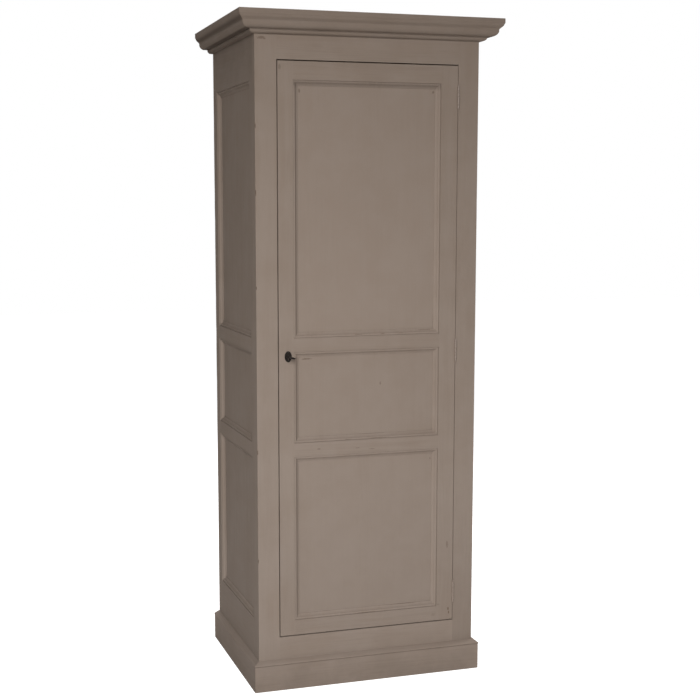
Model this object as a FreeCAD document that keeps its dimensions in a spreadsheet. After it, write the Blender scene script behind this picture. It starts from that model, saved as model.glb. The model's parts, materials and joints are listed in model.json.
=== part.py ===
import FreeCAD, Part
import os
import Sketcher
from FreeCAD import Placement, Rotation, Vector

# A painted linen cupboard with one tall framed door, built of frames and loose panels.
# Millimetres. +Z is up, the front faces -Y, and the origin is on the floor under the middle
# of the cupboard's overall width and depth.

document = FreeCAD.newDocument("linen_cupboard")
sheet = document.addObject("Spreadsheet::Sheet", "Dimensions")
pieces = []


class Size:
    """A length known both as a number and as the formula that ties it to the sheet."""

    def __init__(self, value, formula):
        self.value = value
        self.formula = formula

    def join(self, other, sign, value):
        return Size(value, "(%s %s %s)" % (self.formula, sign, other.formula))

    def __add__(self, other):
        other = as_size(other)
        return self.join(other, "+", self.value + other.value)

    def __sub__(self, other):
        other = as_size(other)
        return self.join(other, "-", self.value - other.value)

    def __mul__(self, other):
        other = as_size(other)
        return self.join(other, "*", self.value * other.value)

    def __truediv__(self, other):
        other = as_size(other)
        return self.join(other, "/", self.value / other.value)

    def __neg__(self):
        return Size(-self.value, "(-1 * %s)" % self.formula)


def as_size(amount):
    return amount if isinstance(amount, Size) else Size(amount, repr(amount))


def size(alias, number, meaning):
    """Write one driving dimension in the sheet's next row and return it."""
    size.rows += 1
    sheet.set("A%d" % size.rows, alias)
    sheet.set("B%d" % size.rows, str(number))
    sheet.set("C%d" % size.rows, meaning)
    sheet.setAlias("B%d" % size.rows, alias)
    return Size(number, "Dimensions." + alias)


size.rows = 0

# ---------------------------------------------------------------- driving dimensions

overall_height = size("overall_height", 2000, "floor to the top of the cornice")
body_width = size("body_width", 694, "outside width of the body above the plinth")
body_depth = size("body_depth", 524, "face frame front to back boards")

cornice_height = size("cornice_height", 62, "whole crown moulding")
cornice_projection = size("cornice_projection", 58, "fascia in front of the body")
fascia_height = size("fascia_height", 15.5, "flat face of the top member")
fascia_round = size("fascia_round", 13, "quarter round under the fascia")
second_projection = size("second_projection", 44.5, "face of the second member")
second_underside = size("second_underside", 12, "soffit above the cornice's bottom")
second_round = size("second_round", 13, "quarter round of the second member")
bead_projection = size("bead_projection", 18, "lowest member, against the body")
bead_round = size("bead_round", 9, "quarter round of the lowest member")

plinth_height = size("plinth_height", 92, "floor to the top of the plinth's cap")
plinth_projection = size("plinth_projection", 16.5, "upright face of the plinth")
plinth_cap_height = size("plinth_cap_height", 13, "rounded cap above the upright face")
plinth_lip = size("plinth_lip", 2, "nose of the cap past the upright face")
plinth_nose = size("plinth_nose", 1.5, "height of the nose's blunt edge")
plinth_cap_round = size("plinth_cap_round", 24, "radius of the cap's top")

face_thickness = size("face_thickness", 25, "face frame stiles and rails")
face_stile_width = size("face_stile_width", 65, "either side of the door")
top_rail_show = size("top_rail_show", 70, "face rail between door opening and cornice")
bottom_rail_show = size("bottom_rail_show", 68, "face rail between plinth and door opening")
rail_underside = size("rail_underside", 40, "lowest edge of the bottom rails and back boards")
tenon_length = size("tenon_length", 30, "face rail tenons")
tenon_thickness = size("tenon_thickness", 9, "face rail tenons")
tenon_shoulder = size("tenon_shoulder", 12, "tenon back from the rail's edges")
joint_clearance = size("joint_clearance", 0.1, "all round a tenon or a panel's edge")

side_thickness = size("side_thickness", 25, "side frame stiles and rails")
side_stile_width = size("side_stile_width", 38, "front stile of a side")
rear_stile_width = size("rear_stile_width", 48, "rear stile of a side")
panel_recess = size("panel_recess", 12, "frame face to panel face")
panel_thickness = size("panel_thickness", 7, "loose panels and the tongues of the rails")
groove_depth = size("groove_depth", 9, "panel groove in stiles and rails")
panel_play = size("panel_play", 0.8, "room for a panel's edge at the groove's bottom")

moulding_width = size("moulding_width", 16, "panel moulding across its face")
moulding_edge = size("moulding_edge", 1.1, "upright edge of the moulding at the panel")
moulding_cove = size("moulding_cove", 14, "radius of the hollow from panel to bead")
bead_width = size("bead_width", 7.5, "moulding's outer edge to the foot of the bead")
bead_drop = size("bead_drop", 5.4, "foot of the bead under the frame's face")
bead_radius = size("bead_radius", 5, "round top of the bead")
quirk_drop = size("quirk_drop", 2.9, "V between bead and frame")

lock_gap = size("lock_gap", 2.5, "door to face frame at the lock")
hinge_gap = size("hinge_gap", 1.5, "door to face frame at the hinges")
top_gap = size("top_gap", 3, "door to face frame at the top")
bottom_gap = size("bottom_gap", 3, "door to face frame at the bottom")
door_back_gap = size("door_back_gap", 0.5, "door's back to the floor board's edge")
lock_stile_width = size("lock_stile_width", 47, "door stile on the lock side")
hinge_stile_width = size("hinge_stile_width", 53.5, "door stile on the hinge side")
door_top_rail = size("door_top_rail", 53.5, "width of the door's top rail")
door_bottom_rail = size("door_bottom_rail", 46.5, "width of the door's bottom rail")
cross_rail = size("cross_rail", 42, "width of the two cross rails")
lock_rail_height = size("lock_rail_height", 1066, "floor to the upper cross rail's top edge")
lower_rail_height = size("lower_rail_height", 752, "floor to the lower cross rail's top edge")

top_thickness = size("top_thickness", 18, "board that closes the top")
back_thickness = size("back_thickness", 10, "back boards")
back_rebate = size("back_rebate", 12, "rebate in the rear stiles")
back_tongue = size("back_tongue", 5, "tongue of one back board in the next")
back_tongue_thickness = size("back_tongue_thickness", 3.5, "across that tongue")
board_gap = size("board_gap", 0.3, "between two back boards")
floor_level = size("floor_level", 172, "top of the cupboard's floor")
board_thickness = size("board_thickness", 18, "floor and shelves")
board_play = size("board_play", 0.4, "floor and shelves to the sides and back")
shelf_setback = size("shelf_setback", 22, "shelf edge behind the face frame")
batten_thickness = size("batten_thickness", 15, "shelf battens across")
batten_height = size("batten_height", 22, "shelf battens up")
batten_inset = size("batten_inset", 6, "batten ends short of the board they carry")

hinge_inset = size("hinge_inset", 91, "door's end to the middle of the outer hinges")
leaf_height = size("leaf_height", 66, "butt hinge leaves")
leaf_depth = size("leaf_depth", 19, "leaf let into the edge, from the front")
leaf_thickness = size("leaf_thickness", 2, "butt hinge leaves")
leaf_let_in = size("leaf_let_in", 1.6, "depth of the leaf's recess")
knuckle_radius = size("knuckle_radius", 3.2, "outside of the hinge barrel")
knuckle_standoff = size("knuckle_standoff", 0.35, "barrel to the face of the frame")
knuckle_gap = size("knuckle_gap", 0.3, "between two knuckles")
pin_radius = size("pin_radius", 1.5, "hinge pin")
pin_clearance = size("pin_clearance", 0.05, "pin in its knuckles, on the radius")
pin_head_radius = size("pin_head_radius", 2.7, "button at each end of the pin")
pin_head_height = size("pin_head_height", 1.8, "button at each end of the pin")

screw_head_radius = size("screw_head_radius", 3.2, "countersunk head")
screw_head_depth = size("screw_head_depth", 1.9, "countersunk head")
screw_radius = size("screw_radius", 1.5, "shank")
screw_length = size("screw_length", 16, "whole screw")
screw_spread = size("screw_spread", 24, "outer screws of a leaf from its middle")
screw_setback = size("screw_setback", 11, "screws of a leaf behind the front")

key_height = size("key_height", 1012, "floor to the keyhole")
key_inset = size("key_inset", 28, "door's lock edge to the keyhole")
case_width = size("case_width", 44, "lock case across the stile")
case_above = size("case_above", 38, "lock case above the keyhole")
case_below = size("case_below", 20, "lock case below the keyhole")
case_depth = size("case_depth", 13, "lock case behind the door")
case_wall = size("case_wall", 1.5, "sheet of the lock case")
case_tab = size("case_tab", 9, "screw tabs above and below the case")
tab_screw_inset = size("tab_screw_inset", 10, "tab screws from the case's ends, clear of the tongues")
bolt_above = size("bolt_above", 12, "bolt's lower edge above the keyhole")
bolt_height = size("bolt_height", 14, "lock bolt")
bolt_thickness = size("bolt_thickness", 6, "lock bolt")
bolt_length = size("bolt_length", 30, "lock bolt")
bolt_clearance = size("bolt_clearance", 0.3, "bolt in its slot")
keeper_width = size("keeper_width", 20, "keeper on the face frame's back")
keeper_edge = size("keeper_edge", 1, "keeper back from the opening's edge")
keeper_wall = size("keeper_wall", 2, "walls round the bolt's pocket")
keeper_play = size("keeper_play", 0.8, "bolt in the keeper")

plate_half_width = size("plate_half_width", 10.8, "oval escutcheon, half across")
plate_half_height = size("plate_half_height", 16.2, "oval escutcheon, half up")
plate_thickness = size("plate_thickness", 1.6, "escutcheon")
plate_pin_inset = size("plate_pin_inset", 3.6, "escutcheon pins from its ends")
plate_pin_radius = size("plate_pin_radius", 1.3, "round head of an escutcheon pin")
plate_pin_length = size("plate_pin_length", 9, "escutcheon pin in the wood")
shank_radius = size("shank_radius", 2.4, "key shank")
shank_clearance = size("shank_clearance", 0.08, "key tip in the case's back, on the radius")
keyhole_clearance = size("keyhole_clearance", 0.7, "round the key in the door and plate")
key_reach = size("key_reach", 18, "door face to the key's bow")
collar_radius = size("collar_radius", 3.6, "collar of the key")
collar_length = size("collar_length", 4, "collar of the key")
bow_radius = size("bow_radius", 11.2, "key bow, to the middle of its bar")
bow_bar_radius = size("bow_bar_radius", 2.3, "bar of the key bow")
bit_reach = size("bit_reach", 8.5, "key bit from the shank's middle")
bit_length = size("bit_length", 6, "key bit along the shank")
bit_thickness = size("bit_thickness", 2.4, "key bit")

KEY_TILT = 12          # degrees: the bow's resting tilt from level
BACK_BOARDS = 5
SHELF_NAMES = ("shelf_lower", "shelf_middle", "shelf_upper")
KNUCKLES = 5

# ---------------------------------------------------------------- planes worked out from them

front = (cornice_projection - body_depth) / 2
back = (cornice_projection + body_depth) / 2
side = body_width / 2
body_top = overall_height - top_thickness
cornice_bottom = overall_height - cornice_height
face_back = front + face_thickness

opening_left = face_stile_width - side
opening_right = side - face_stile_width
opening_bottom = plinth_height + bottom_rail_show
opening_top = cornice_bottom - top_rail_show

door_left = opening_left + lock_gap
door_right = opening_right - hinge_gap
door_bottom = opening_bottom + bottom_gap
door_top = opening_top - top_gap
door_thickness = face_thickness - door_back_gap
door_back = front + door_thickness

panel_levels = {
    "bottom": (door_bottom + door_bottom_rail, lower_rail_height - cross_rail),
    "middle": (lower_rail_height, lock_rail_height - cross_rail),
    "top": (lock_rail_height, door_top - door_top_rail),
}

hinge_x = opening_right - hinge_gap / 2
hinge_y = front - knuckle_standoff - knuckle_radius
hinge_levels = (
    door_bottom + hinge_inset,
    (door_bottom + door_top) / 2,
    door_top - hinge_inset,
)
key_x = door_left + key_inset


# ---------------------------------------------------------------- helpers

def bind(thing, name, amount):
    thing.setExpression(name, as_size(amount).formula)


def move(thing, x, y, z):
    bind(thing, "Placement.Base.x", x)
    bind(thing, "Placement.Base.y", y)
    bind(thing, "Placement.Base.z", z)


def box(name, x, y, z):
    """A block between two x, two y and two z values."""
    block = document.addObject("Part::Box", name)
    bind(block, "Length", x[1] - x[0])
    bind(block, "Width", y[1] - y[0])
    bind(block, "Height", z[1] - z[0])
    move(block, x[0], y[0], z[0])
    return block


def rod(name, radius, length, start, direction):
    """A cylinder from a start point along a direction."""
    bar = document.addObject("Part::Cylinder", name)
    bind(bar, "Radius", radius)
    bind(bar, "Height", length)
    bar.Placement = Placement(Vector(), Rotation(Vector(0, 0, 1), direction))
    move(bar, *start)
    return bar


def join(name, shapes):
    whole = document.addObject("Part::MultiFuse", name)
    whole.Shapes = shapes
    return whole


def cut(name, base, tools):
    result = document.addObject("Part::Cut", name)
    result.Base = base
    result.Tool = tools[0] if len(tools) == 1 else join(name + "_cutters", tools)
    return result


def group(name, shapes):
    """Several separate solids of one kind."""
    collection = document.addObject("Part::Compound", name)
    collection.Links = shapes
    return collection


def keep(thing, node):
    """Name a finished sub-part and put it on the list that is written out."""
    thing.Label = node
    pieces.append(thing)
    return thing


def mirrored(name, source, normal, base_name, base):
    twin = document.addObject("Part::Mirroring", name)
    twin.Source = source
    twin.Normal = normal
    bind(twin, "Base." + base_name, base)
    return twin


def mirror_across(source, node):
    """The right-hand twin of a left-hand piece."""
    return keep(mirrored(node + "_twin", source, Vector(1, 0, 0), "x", 0), node)


class Face:
    """One flat side of the cupboard: where its surface lies and how things lie in it."""

    def __init__(self, axis, surface, right, out):
        self.axis = axis
        self.surface = surface
        self.right = right
        self.out = out

    def slab(self, name, along, up, depth):
        """A block along the face, up it, and into it from its surface."""
        inward = (self.surface + depth[0], self.surface + depth[1])
        if self.axis == "y":
            return box(name, along, inward, up)
        return box(name, inward, along, up)

    def point(self, along, up, depth):
        if self.axis == "y":
            return (along, self.surface + depth, up)
        return (self.surface + depth, along, up)


FRONT = Face("y", front, Vector(1, 0, 0), Vector(0, -1, 0))
LEFT = Face("x", -side, Vector(0, -1, 0), Vector(-1, 0, 0))
UP = Vector(0, 0, 1)


def origin_plane(body, role):
    return [part for part in body.Origin.OriginFeatures if part.Role == role][0]


def arc_between(start, end, radius, hollow):
    """The short arc from start to end: it bulges to the right of the way, or left if hollow.

    Either way it runs counter-clockwise, the way round that a sketch keeps its arcs."""
    chord = end - start
    half = chord.Length / 2
    rise = max(radius * radius - half * half, 0) ** 0.5
    right = Vector(chord.y, -chord.x, 0).normalize() * (-1 if hollow else 1)
    centre = (start + end) / 2 - right * rise
    middle = centre + right * radius
    first, last = (end, start) if hollow else (start, end)
    return Part.Arc(first, middle, last)


def outline(sketch, corners, rounds, hollows=()):
    """Draw a closed outline and tie every corner and radius to the sheet.

    corners are pairs of sizes; rounds gives the radius of the edge that leaves a corner, and
    hollows are the rounds that curve inwards."""
    count = len(corners)
    points = [Vector(as_size(x).value, as_size(y).value, 0) for x, y in corners]
    starts = []
    for i in range(count):
        start, end = points[i], points[(i + 1) % count]
        if i in rounds:
            curve = arc_between(start, end, rounds[i].value, i in hollows)
            arc = sketch.addGeometry(curve, False)
            at_start = (sketch.Geometry[arc].StartPoint - start).Length < 1e-6
            starts.append((arc, 1 if at_start else 2, 2 if at_start else 1))
        else:
            line = sketch.addGeometry(Part.LineSegment(start, end), False)
            starts.append((line, 1, 2))
    for i in range(count):
        edge, near, far = starts[i]
        next_edge, next_near, _ = starts[(i + 1) % count]
        sketch.addConstraint(Sketcher.Constraint("Coincident", edge, far, next_edge, next_near))
        for kind, axis, amount in zip(("DistanceX", "DistanceY"), (-2, -1), corners[i]):
            amount = as_size(amount)
            if amount.formula == "0":
                sketch.addConstraint(Sketcher.Constraint("PointOnObject", edge, near, axis))
                continue
            number = Sketcher.Constraint(kind, -1, 1, edge, near, amount.value)
            bind(sketch, "Constraints[%d]" % sketch.addConstraint(number), amount)
        if i in rounds:
            number = Sketcher.Constraint("Radius", edge, rounds[i].value)
            bind(sketch, "Constraints[%d]" % sketch.addConstraint(number), rounds[i])


def profile_length(name, corners, rounds, length, end_triangles, hollows=()):
    """A moulding run: its profile padded along +Y, with its mitres cut off.

    In the body's own frame x and z are the profile's two directions."""
    body = document.addObject("PartDesign::Body", name)
    profile = body.newObject("Sketcher::SketchObject", name + "_profile")
    profile.AttachmentSupport = (origin_plane(body, "XZ_Plane"), [""])
    profile.MapMode = "FlatFace"
    outline(profile, corners, rounds, hollows)
    run = body.newObject("PartDesign::Pad", name + "_run")
    run.Profile = profile
    run.Reversed = True
    bind(run, "Length", length)
    document.recompute()
    square = body.Shape.Volume
    mitres = body.newObject("Sketcher::SketchObject", name + "_mitres")
    mitres.AttachmentSupport = (origin_plane(body, "XY_Plane"), [""])
    mitres.MapMode = "FlatFace"
    for triangle in end_triangles:
        outline(mitres, triangle, {})
    ends = body.newObject("PartDesign::Pocket", name + "_ends")
    ends.Profile = mitres
    ends.Type = "ThroughAll"
    ends.Reversed = True
    document.recompute()
    assert body.Shape.Volume < square, "the mitres of %s cut nothing" % name
    return body


def turn(body, x_to, y_to, z_to):
    """Lay a body's own axes along three directions of the cupboard."""
    body.Placement = Placement(Vector(), Rotation(x_to, y_to, z_to))


# ---------------------------------------------------------------- frames with loose panels

def plough(name, face, along, up):
    """The cutter for a panel groove."""
    depth = (panel_recess - joint_clearance, panel_recess + panel_thickness + joint_clearance)
    return face.slab(name, along, up, depth)


def stile(node, face, along, up, thickness, grooved_edge):
    """An upright of a framed panel, grooved along one edge: 0 is its first edge, 1 its second."""
    blank = face.slab(node + "_blank", along, up, (0, thickness))
    edges = (along[0], along[0] + groove_depth)
    if grooved_edge == 1:
        edges = (along[1] - groove_depth, along[1])
    return cut(node + "_grooved", blank, [plough(node + "_groove", face, edges, up)])


def rail(node, face, along, up, thickness, groove_above, groove_below):
    """A cross piece between two stiles, with a tongue at each end and grooved for its panels."""
    reach = (along[0] - groove_depth, along[1] + groove_depth)
    blank = face.slab(node + "_blank", along, up, (0, thickness))
    tongue_depth = (panel_recess, panel_recess + panel_thickness)
    tongue = face.slab(node + "_tongue", reach, up, tongue_depth)
    grooves = []
    if groove_above:
        grooves.append(plough(node + "_upper_groove", face, reach, (up[1] - groove_depth, up[1])))
    if groove_below:
        grooves.append(plough(node + "_lower_groove", face, reach, (up[0], up[0] + groove_depth)))
    return keep(cut(node + "_ploughed", join(node + "_tongued", [blank, tongue]), grooves), node)


def panel(node, face, along, up):
    overlap = groove_depth - panel_play
    width = (along[0] - overlap, along[1] + overlap)
    height = (up[0] - overlap, up[1] + overlap)
    depth = (panel_recess, panel_recess + panel_thickness)
    return keep(face.slab(node + "_board", width, height, depth), node)


moulding_corners = [
    (0, 0),
    (moulding_width, 0),
    (moulding_width, moulding_edge),
    (bead_width, panel_recess - bead_drop),
    (0, panel_recess - quirk_drop),
]
moulding_rounds = {2: moulding_cove, 3: bead_radius}
moulding_hollows = (2,)


def moulding_strip(name, length):
    near = [(0, 0), (moulding_width, 0), (moulding_width, moulding_width)]
    far = [(0, length), (moulding_width, length - moulding_width), (moulding_width, length)]
    return profile_length(name, moulding_corners, moulding_rounds, length, [near, far],
                          moulding_hollows)


def moulding_frame(name, face, along, up):
    """Four mitred strips planted round the inside of one panel opening."""
    first, last = along if face.axis == "y" else (along[1], along[0])
    upright = moulding_strip(name + "_upright", up[1] - up[0])
    turn(upright, face.right, UP, face.out)
    move(upright, *face.point(first, up[0], panel_recess))
    level = moulding_strip(name + "_level", along[1] - along[0])
    turn(level, UP, -face.right, face.out)
    move(level, *face.point(last, up[0], panel_recess))
    middle = (along[0] + along[1]) / 2
    axis_name = "x" if face.axis == "y" else "y"
    other_upright = mirrored(name + "_upright_twin", upright, face.right, axis_name, middle)
    other_level = mirrored(name + "_level_twin", level, UP, "z", (up[0] + up[1]) / 2)
    return [upright, other_upright, level, other_level]


# ---------------------------------------------------------------- face frame

def face_stile(name, along):
    return FRONT.slab(name, along, (0, body_top), (0, face_thickness))


def tenon_depth(clearance):
    start = (face_thickness - tenon_thickness) / 2
    return (start - clearance, start + tenon_thickness + clearance)


def face_rail(node, up):
    """A rail of the face frame with a tenon at each end, and the mortises that they fill."""
    along = (opening_left, opening_right)
    blank = FRONT.slab(node + "_blank", along, up, (0, face_thickness))
    reach = (along[0] - tenon_length, along[1] + tenon_length)
    height = (up[0] + tenon_shoulder, up[1] - tenon_shoulder)
    tenon = FRONT.slab(node + "_tenons", reach, height, tenon_depth(as_size(0)))
    keep(join(node + "_tenoned", [blank, tenon]), node)
    loose = joint_clearance
    room = (reach[0] - loose, reach[1] + loose)
    room_height = (height[0] - loose, height[1] + loose)
    return FRONT.slab(node + "_mortises", room, room_height, tenon_depth(loose))


mortises = [
    face_rail("face_rail_bottom", (rail_underside, opening_bottom)),
    face_rail("face_rail_top", (opening_top, body_top)),
]

# ---------------------------------------------------------------- sides

side_front_edge = face_back
side_along = (side_front_edge + side_stile_width, back - rear_stile_width)


def build_left_side():
    """The left side frame; the right one is its mirror image."""
    full_height = (as_size(0), body_top)
    front_along = (side_front_edge, side_along[0])
    rear_along = (side_along[1], back)
    front_stile = stile("left_stile_front", LEFT, front_along, full_height,
                        side_thickness, 1)
    keep(front_stile, "left_stile_front")
    rear_grooved = stile("left_stile_rear", LEFT, rear_along, full_height,
                         side_thickness, 0)
    rebate = box("left_rebate", (side_thickness - back_rebate - side, side_thickness - side),
                 (back - back_thickness, back), full_height)
    keep(cut("left_stile_rear_rebated", rear_grooved, [rebate]), "left_stile_rear")
    levels = panel_levels
    rail("left_rail_bottom", LEFT, side_along, (rail_underside, levels["bottom"][0]),
         side_thickness, True, False)
    rail("left_rail_lower", LEFT, side_along, (levels["bottom"][1], levels["middle"][0]),
         side_thickness, True, True)
    rail("left_rail_upper", LEFT, side_along, (levels["middle"][1], levels["top"][0]),
         side_thickness, True, True)
    rail("left_rail_top", LEFT, side_along, (levels["top"][1], body_top),
         side_thickness, False, True)
    strips = []
    for level, up in levels.items():
        panel("left_panel_" + level, LEFT, side_along, up)
        strips += moulding_frame("left_moulding_" + level, LEFT, side_along, up)
    keep(group("left_moulding_set", strips), "left_mouldings")


build_left_side()
for left_piece in [thing for thing in pieces if thing.Label.startswith("left_")]:
    mirror_across(left_piece, left_piece.Label.replace("left_", "right_", 1))

# ---------------------------------------------------------------- back, top, floor and shelves

inner_side = side - side_thickness


def build_back_boards():
    """Upright boards in the rear stiles' rebates, each with a tongue in the next one."""
    reach = inner_side + back_rebate - joint_clearance
    pitch = (reach * 2 + board_gap) / BACK_BOARDS
    up = (rail_underside, body_top)
    middle = back - back_thickness / 2
    half_tongue = back_tongue_thickness / 2
    boards = []
    for number in range(BACK_BOARDS):
        left = pitch * number - reach
        right = left + pitch - board_gap
        name = "back_board_%d" % number
        blank = box(name, (left, right), (back - back_thickness, back), up)
        if number < BACK_BOARDS - 1:
            tongue = box(name + "_tongue", (right - board_gap, right + back_tongue),
                         (middle - half_tongue, middle + half_tongue), up)
            blank = join(name + "_tongued", [blank, tongue])
        if number > 0:
            wide = half_tongue + joint_clearance
            groove = box(name + "_groove", (left, left + back_tongue),
                         (middle - wide, middle + wide), up)
            blank = cut(name + "_grooved", blank, [groove])
        boards.append(blank)
    return keep(group("back_board_set", boards), "back_boards")


build_back_boards()
keep(box("top_panel", (-side, side), (front, back), (body_top, overall_height)), "top_board")

board_reach = (board_play - inner_side, inner_side - board_play)
board_rear = back - back_thickness - board_play
shelf_front = face_back + shelf_setback
keep(box("floor_panel", board_reach, (face_back, board_rear),
         (floor_level - board_thickness, floor_level)), "floor_board")

compartments = len(SHELF_NAMES) + 1
clear_height = (body_top - floor_level - board_thickness * len(SHELF_NAMES)) / compartments
board_tops = [floor_level]
for order, shelf_name in enumerate(SHELF_NAMES, start=1):
    shelf_top = floor_level + (clear_height + board_thickness) * order
    board_tops.append(shelf_top)
    keep(box(shelf_name + "_panel", board_reach, (shelf_front, board_rear),
             (shelf_top - board_thickness, shelf_top)), shelf_name)

battens = []
for order, board_top in enumerate(board_tops):
    underside = board_top - board_thickness
    batten_run = (shelf_front + batten_inset, board_rear - batten_inset)
    left_batten = box("batten_left_%d" % order, (-inner_side, batten_thickness - inner_side),
                      batten_run, (underside - batten_height, underside))
    right_batten = mirrored("batten_right_%d" % order, left_batten, Vector(1, 0, 0), "x", 0)
    battens += [left_batten, right_batten]
keep(group("batten_set", battens), "shelf_battens")

# ---------------------------------------------------------------- cornice

fascia_bottom = cornice_height - fascia_height
fascia_round_bottom = fascia_bottom - fascia_round
second_face_bottom = second_underside + second_round
cornice_corners = [
    (0, 0),
    (bead_projection - bead_round, 0),
    (bead_projection, bead_round),
    (bead_projection, second_underside),
    (second_projection - second_round, second_underside),
    (second_projection, second_face_bottom),
    (second_projection, fascia_round_bottom),
    (cornice_projection - fascia_round, fascia_round_bottom),
    (cornice_projection, fascia_bottom),
    (cornice_projection, cornice_height),
    (0, cornice_height),
]
cornice_rounds = {1: bead_round, 4: second_round, 7: fascia_round}


def planted_round(kind, corners, rounds, projection, bottom):
    """A moulding planted on the front and both sides of the body, mitred at the front."""
    long_front = body_width + projection * 2
    near = [(0, 0), (projection, 0), (0, projection)]
    far = [(0, long_front), (0, long_front - projection), (projection, long_front)]
    front_run = profile_length(kind + "_front_run", corners, rounds, long_front, [near, far])
    turn(front_run, Vector(0, -1, 0), Vector(1, 0, 0), UP)
    move(front_run, -side - projection, front, bottom)
    keep(front_run, kind + "_front")
    depth = body_depth + projection
    side_end = [(0, depth), (0, depth - projection), (projection, depth)]
    side_run = profile_length(kind + "_left_run", corners, rounds, depth, [side_end])
    turn(side_run, Vector(-1, 0, 0), Vector(0, -1, 0), UP)
    move(side_run, -side, back, bottom)
    keep(side_run, kind + "_left")
    mirror_across(side_run, kind + "_right")


planted_round("cornice", cornice_corners, cornice_rounds, cornice_projection, cornice_bottom)

# ---------------------------------------------------------------- plinth

plinth_reach = plinth_projection + plinth_lip
plinth_face_top = plinth_height - plinth_cap_height
plinth_corners = [
    (0, 0),
    (plinth_projection, 0),
    (plinth_projection, plinth_face_top),
    (plinth_reach, plinth_face_top + plinth_lip),
    (plinth_reach, plinth_face_top + plinth_lip + plinth_nose),
    (0, plinth_height),
]
planted_round("plinth", plinth_corners, {4: plinth_cap_round}, plinth_reach, as_size(0))

# ---------------------------------------------------------------- screws

def screw_parts(name, start, direction):
    """A countersunk wood screw, its head flush with the start point."""
    head = document.addObject("Part::Cone", name + "_head")
    bind(head, "Radius1", screw_head_radius)
    bind(head, "Radius2", screw_radius)
    bind(head, "Height", screw_head_depth)
    head.Placement = Placement(Vector(), Rotation(UP, direction))
    move(head, *start)
    return [head, rod(name + "_shank", screw_radius, screw_length, start, direction)]


def leaf_screws(name, x, direction):
    parts = []
    for hinge, level in enumerate(hinge_levels):
        for place, offset in enumerate((-screw_spread, as_size(0), screw_spread)):
            start = (x, front + screw_setback, level + offset)
            parts += screw_parts("%s_%d_%d" % (name, hinge, place), start, direction)
    return parts


frame_leaf_face = opening_right + leaf_let_in - leaf_thickness
door_leaf_face = door_right - leaf_let_in + leaf_thickness
keeper_right = opening_left - keeper_edge
keeper_left = keeper_right - keeper_width
bolt_bottom = key_height + bolt_above
bolt_top = bolt_bottom + bolt_height
keeper_play_room = keeper_play + keeper_wall
keeper_body = (bolt_bottom - keeper_play_room, bolt_top + keeper_play_room)
keeper_tabs = (keeper_body[0] - case_tab, keeper_body[1] + case_tab)
case_sheet_back = door_back + case_wall
case_body = (key_height - case_below, key_height + case_above)
case_tabs = (case_body[0] - case_tab, case_body[1] + case_tab)

frame_screw_parts = leaf_screws("frame_leaf_screw", frame_leaf_face, Vector(1, 0, 0))
door_screw_parts = leaf_screws("door_leaf_screw", door_leaf_face, Vector(-1, 0, 0))
keeper_screw_x = (keeper_left + keeper_right) / 2
for end, level in enumerate((keeper_tabs[0] + case_tab / 2, keeper_tabs[1] - case_tab / 2)):
    start = (keeper_screw_x, face_back + keeper_wall, level)
    frame_screw_parts += screw_parts("keeper_screw_%d" % end, start, Vector(0, -1, 0))
    door_level = (case_tabs[0] + case_tab / 2, case_tabs[1] - case_tab / 2)[end]
    for place, x in enumerate((door_left + tab_screw_inset,
                               door_left + case_width - tab_screw_inset)):
        name = "case_screw_%d_%d" % (end, place)
        door_screw_parts += screw_parts(name, (x, case_sheet_back, door_level), Vector(0, -1, 0))
frame_screws = keep(join("frame_screw_set", frame_screw_parts), "frame_screws")
door_screws = keep(join("door_screw_set", door_screw_parts), "door_screws")

# ---------------------------------------------------------------- hinges

knuckle_height = (leaf_height - knuckle_gap * (KNUCKLES - 1)) / KNUCKLES
plate_front = hinge_y + knuckle_radius + knuckle_gap


def build_leaves(node, x, own, screws):
    """One leaf of each hinge: a plate let into the edge, and its share of the knuckles."""
    solids = []
    bores = []
    for hinge, level in enumerate(hinge_levels):
        bottom = level - leaf_height / 2
        name = "%s_%d" % (node, hinge)
        solids.append(box(name + "_plate", x, (plate_front, front + leaf_depth),
                          (bottom, bottom + leaf_height)))
        for number in own:
            low = bottom + (knuckle_height + knuckle_gap) * number
            knuckle = "%s_knuckle_%d" % (name, number)
            solids.append(rod(knuckle, knuckle_radius, knuckle_height,
                              (hinge_x, hinge_y, low), UP))
            solids.append(box(knuckle + "_neck", x, (hinge_y, plate_front + knuckle_gap),
                              (low, low + knuckle_height)))
        bores.append(rod(name + "_bore", pin_radius + pin_clearance, leaf_height,
                         (hinge_x, hinge_y, bottom), UP))
    blank = join(node + "_blank", solids)
    return keep(cut(node + "_drilled", blank, bores + [screws]), node)


frame_leaf_x = (frame_leaf_face, opening_right + leaf_let_in)
door_leaf_x = (door_right - leaf_let_in, door_leaf_face)
build_leaves("hinge_leaves_frame", frame_leaf_x, range(0, KNUCKLES, 2), frame_screws)
build_leaves("hinge_leaves_door", door_leaf_x, range(1, KNUCKLES, 2), door_screws)

pin_parts = []
for hinge, level in enumerate(hinge_levels):
    bottom = level - leaf_height / 2
    pin_parts.append(rod("hinge_pin_%d" % hinge, pin_radius, leaf_height,
                         (hinge_x, hinge_y, bottom), UP))
    for end, low in enumerate((bottom - pin_head_height, bottom + leaf_height)):
        pin_parts.append(rod("hinge_pin_%d_head_%d" % (hinge, end), pin_head_radius,
                             pin_head_height, (hinge_x, hinge_y, low), UP))
keep(join("hinge_pin_set", pin_parts), "hinge_pins")


def leaf_recesses(name, x):
    recesses = []
    for hinge, level in enumerate(hinge_levels):
        height = (level - leaf_height / 2, level + leaf_height / 2)
        recesses.append(box("%s_%d" % (name, hinge), x, (front, front + leaf_depth), height))
    return recesses


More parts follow.
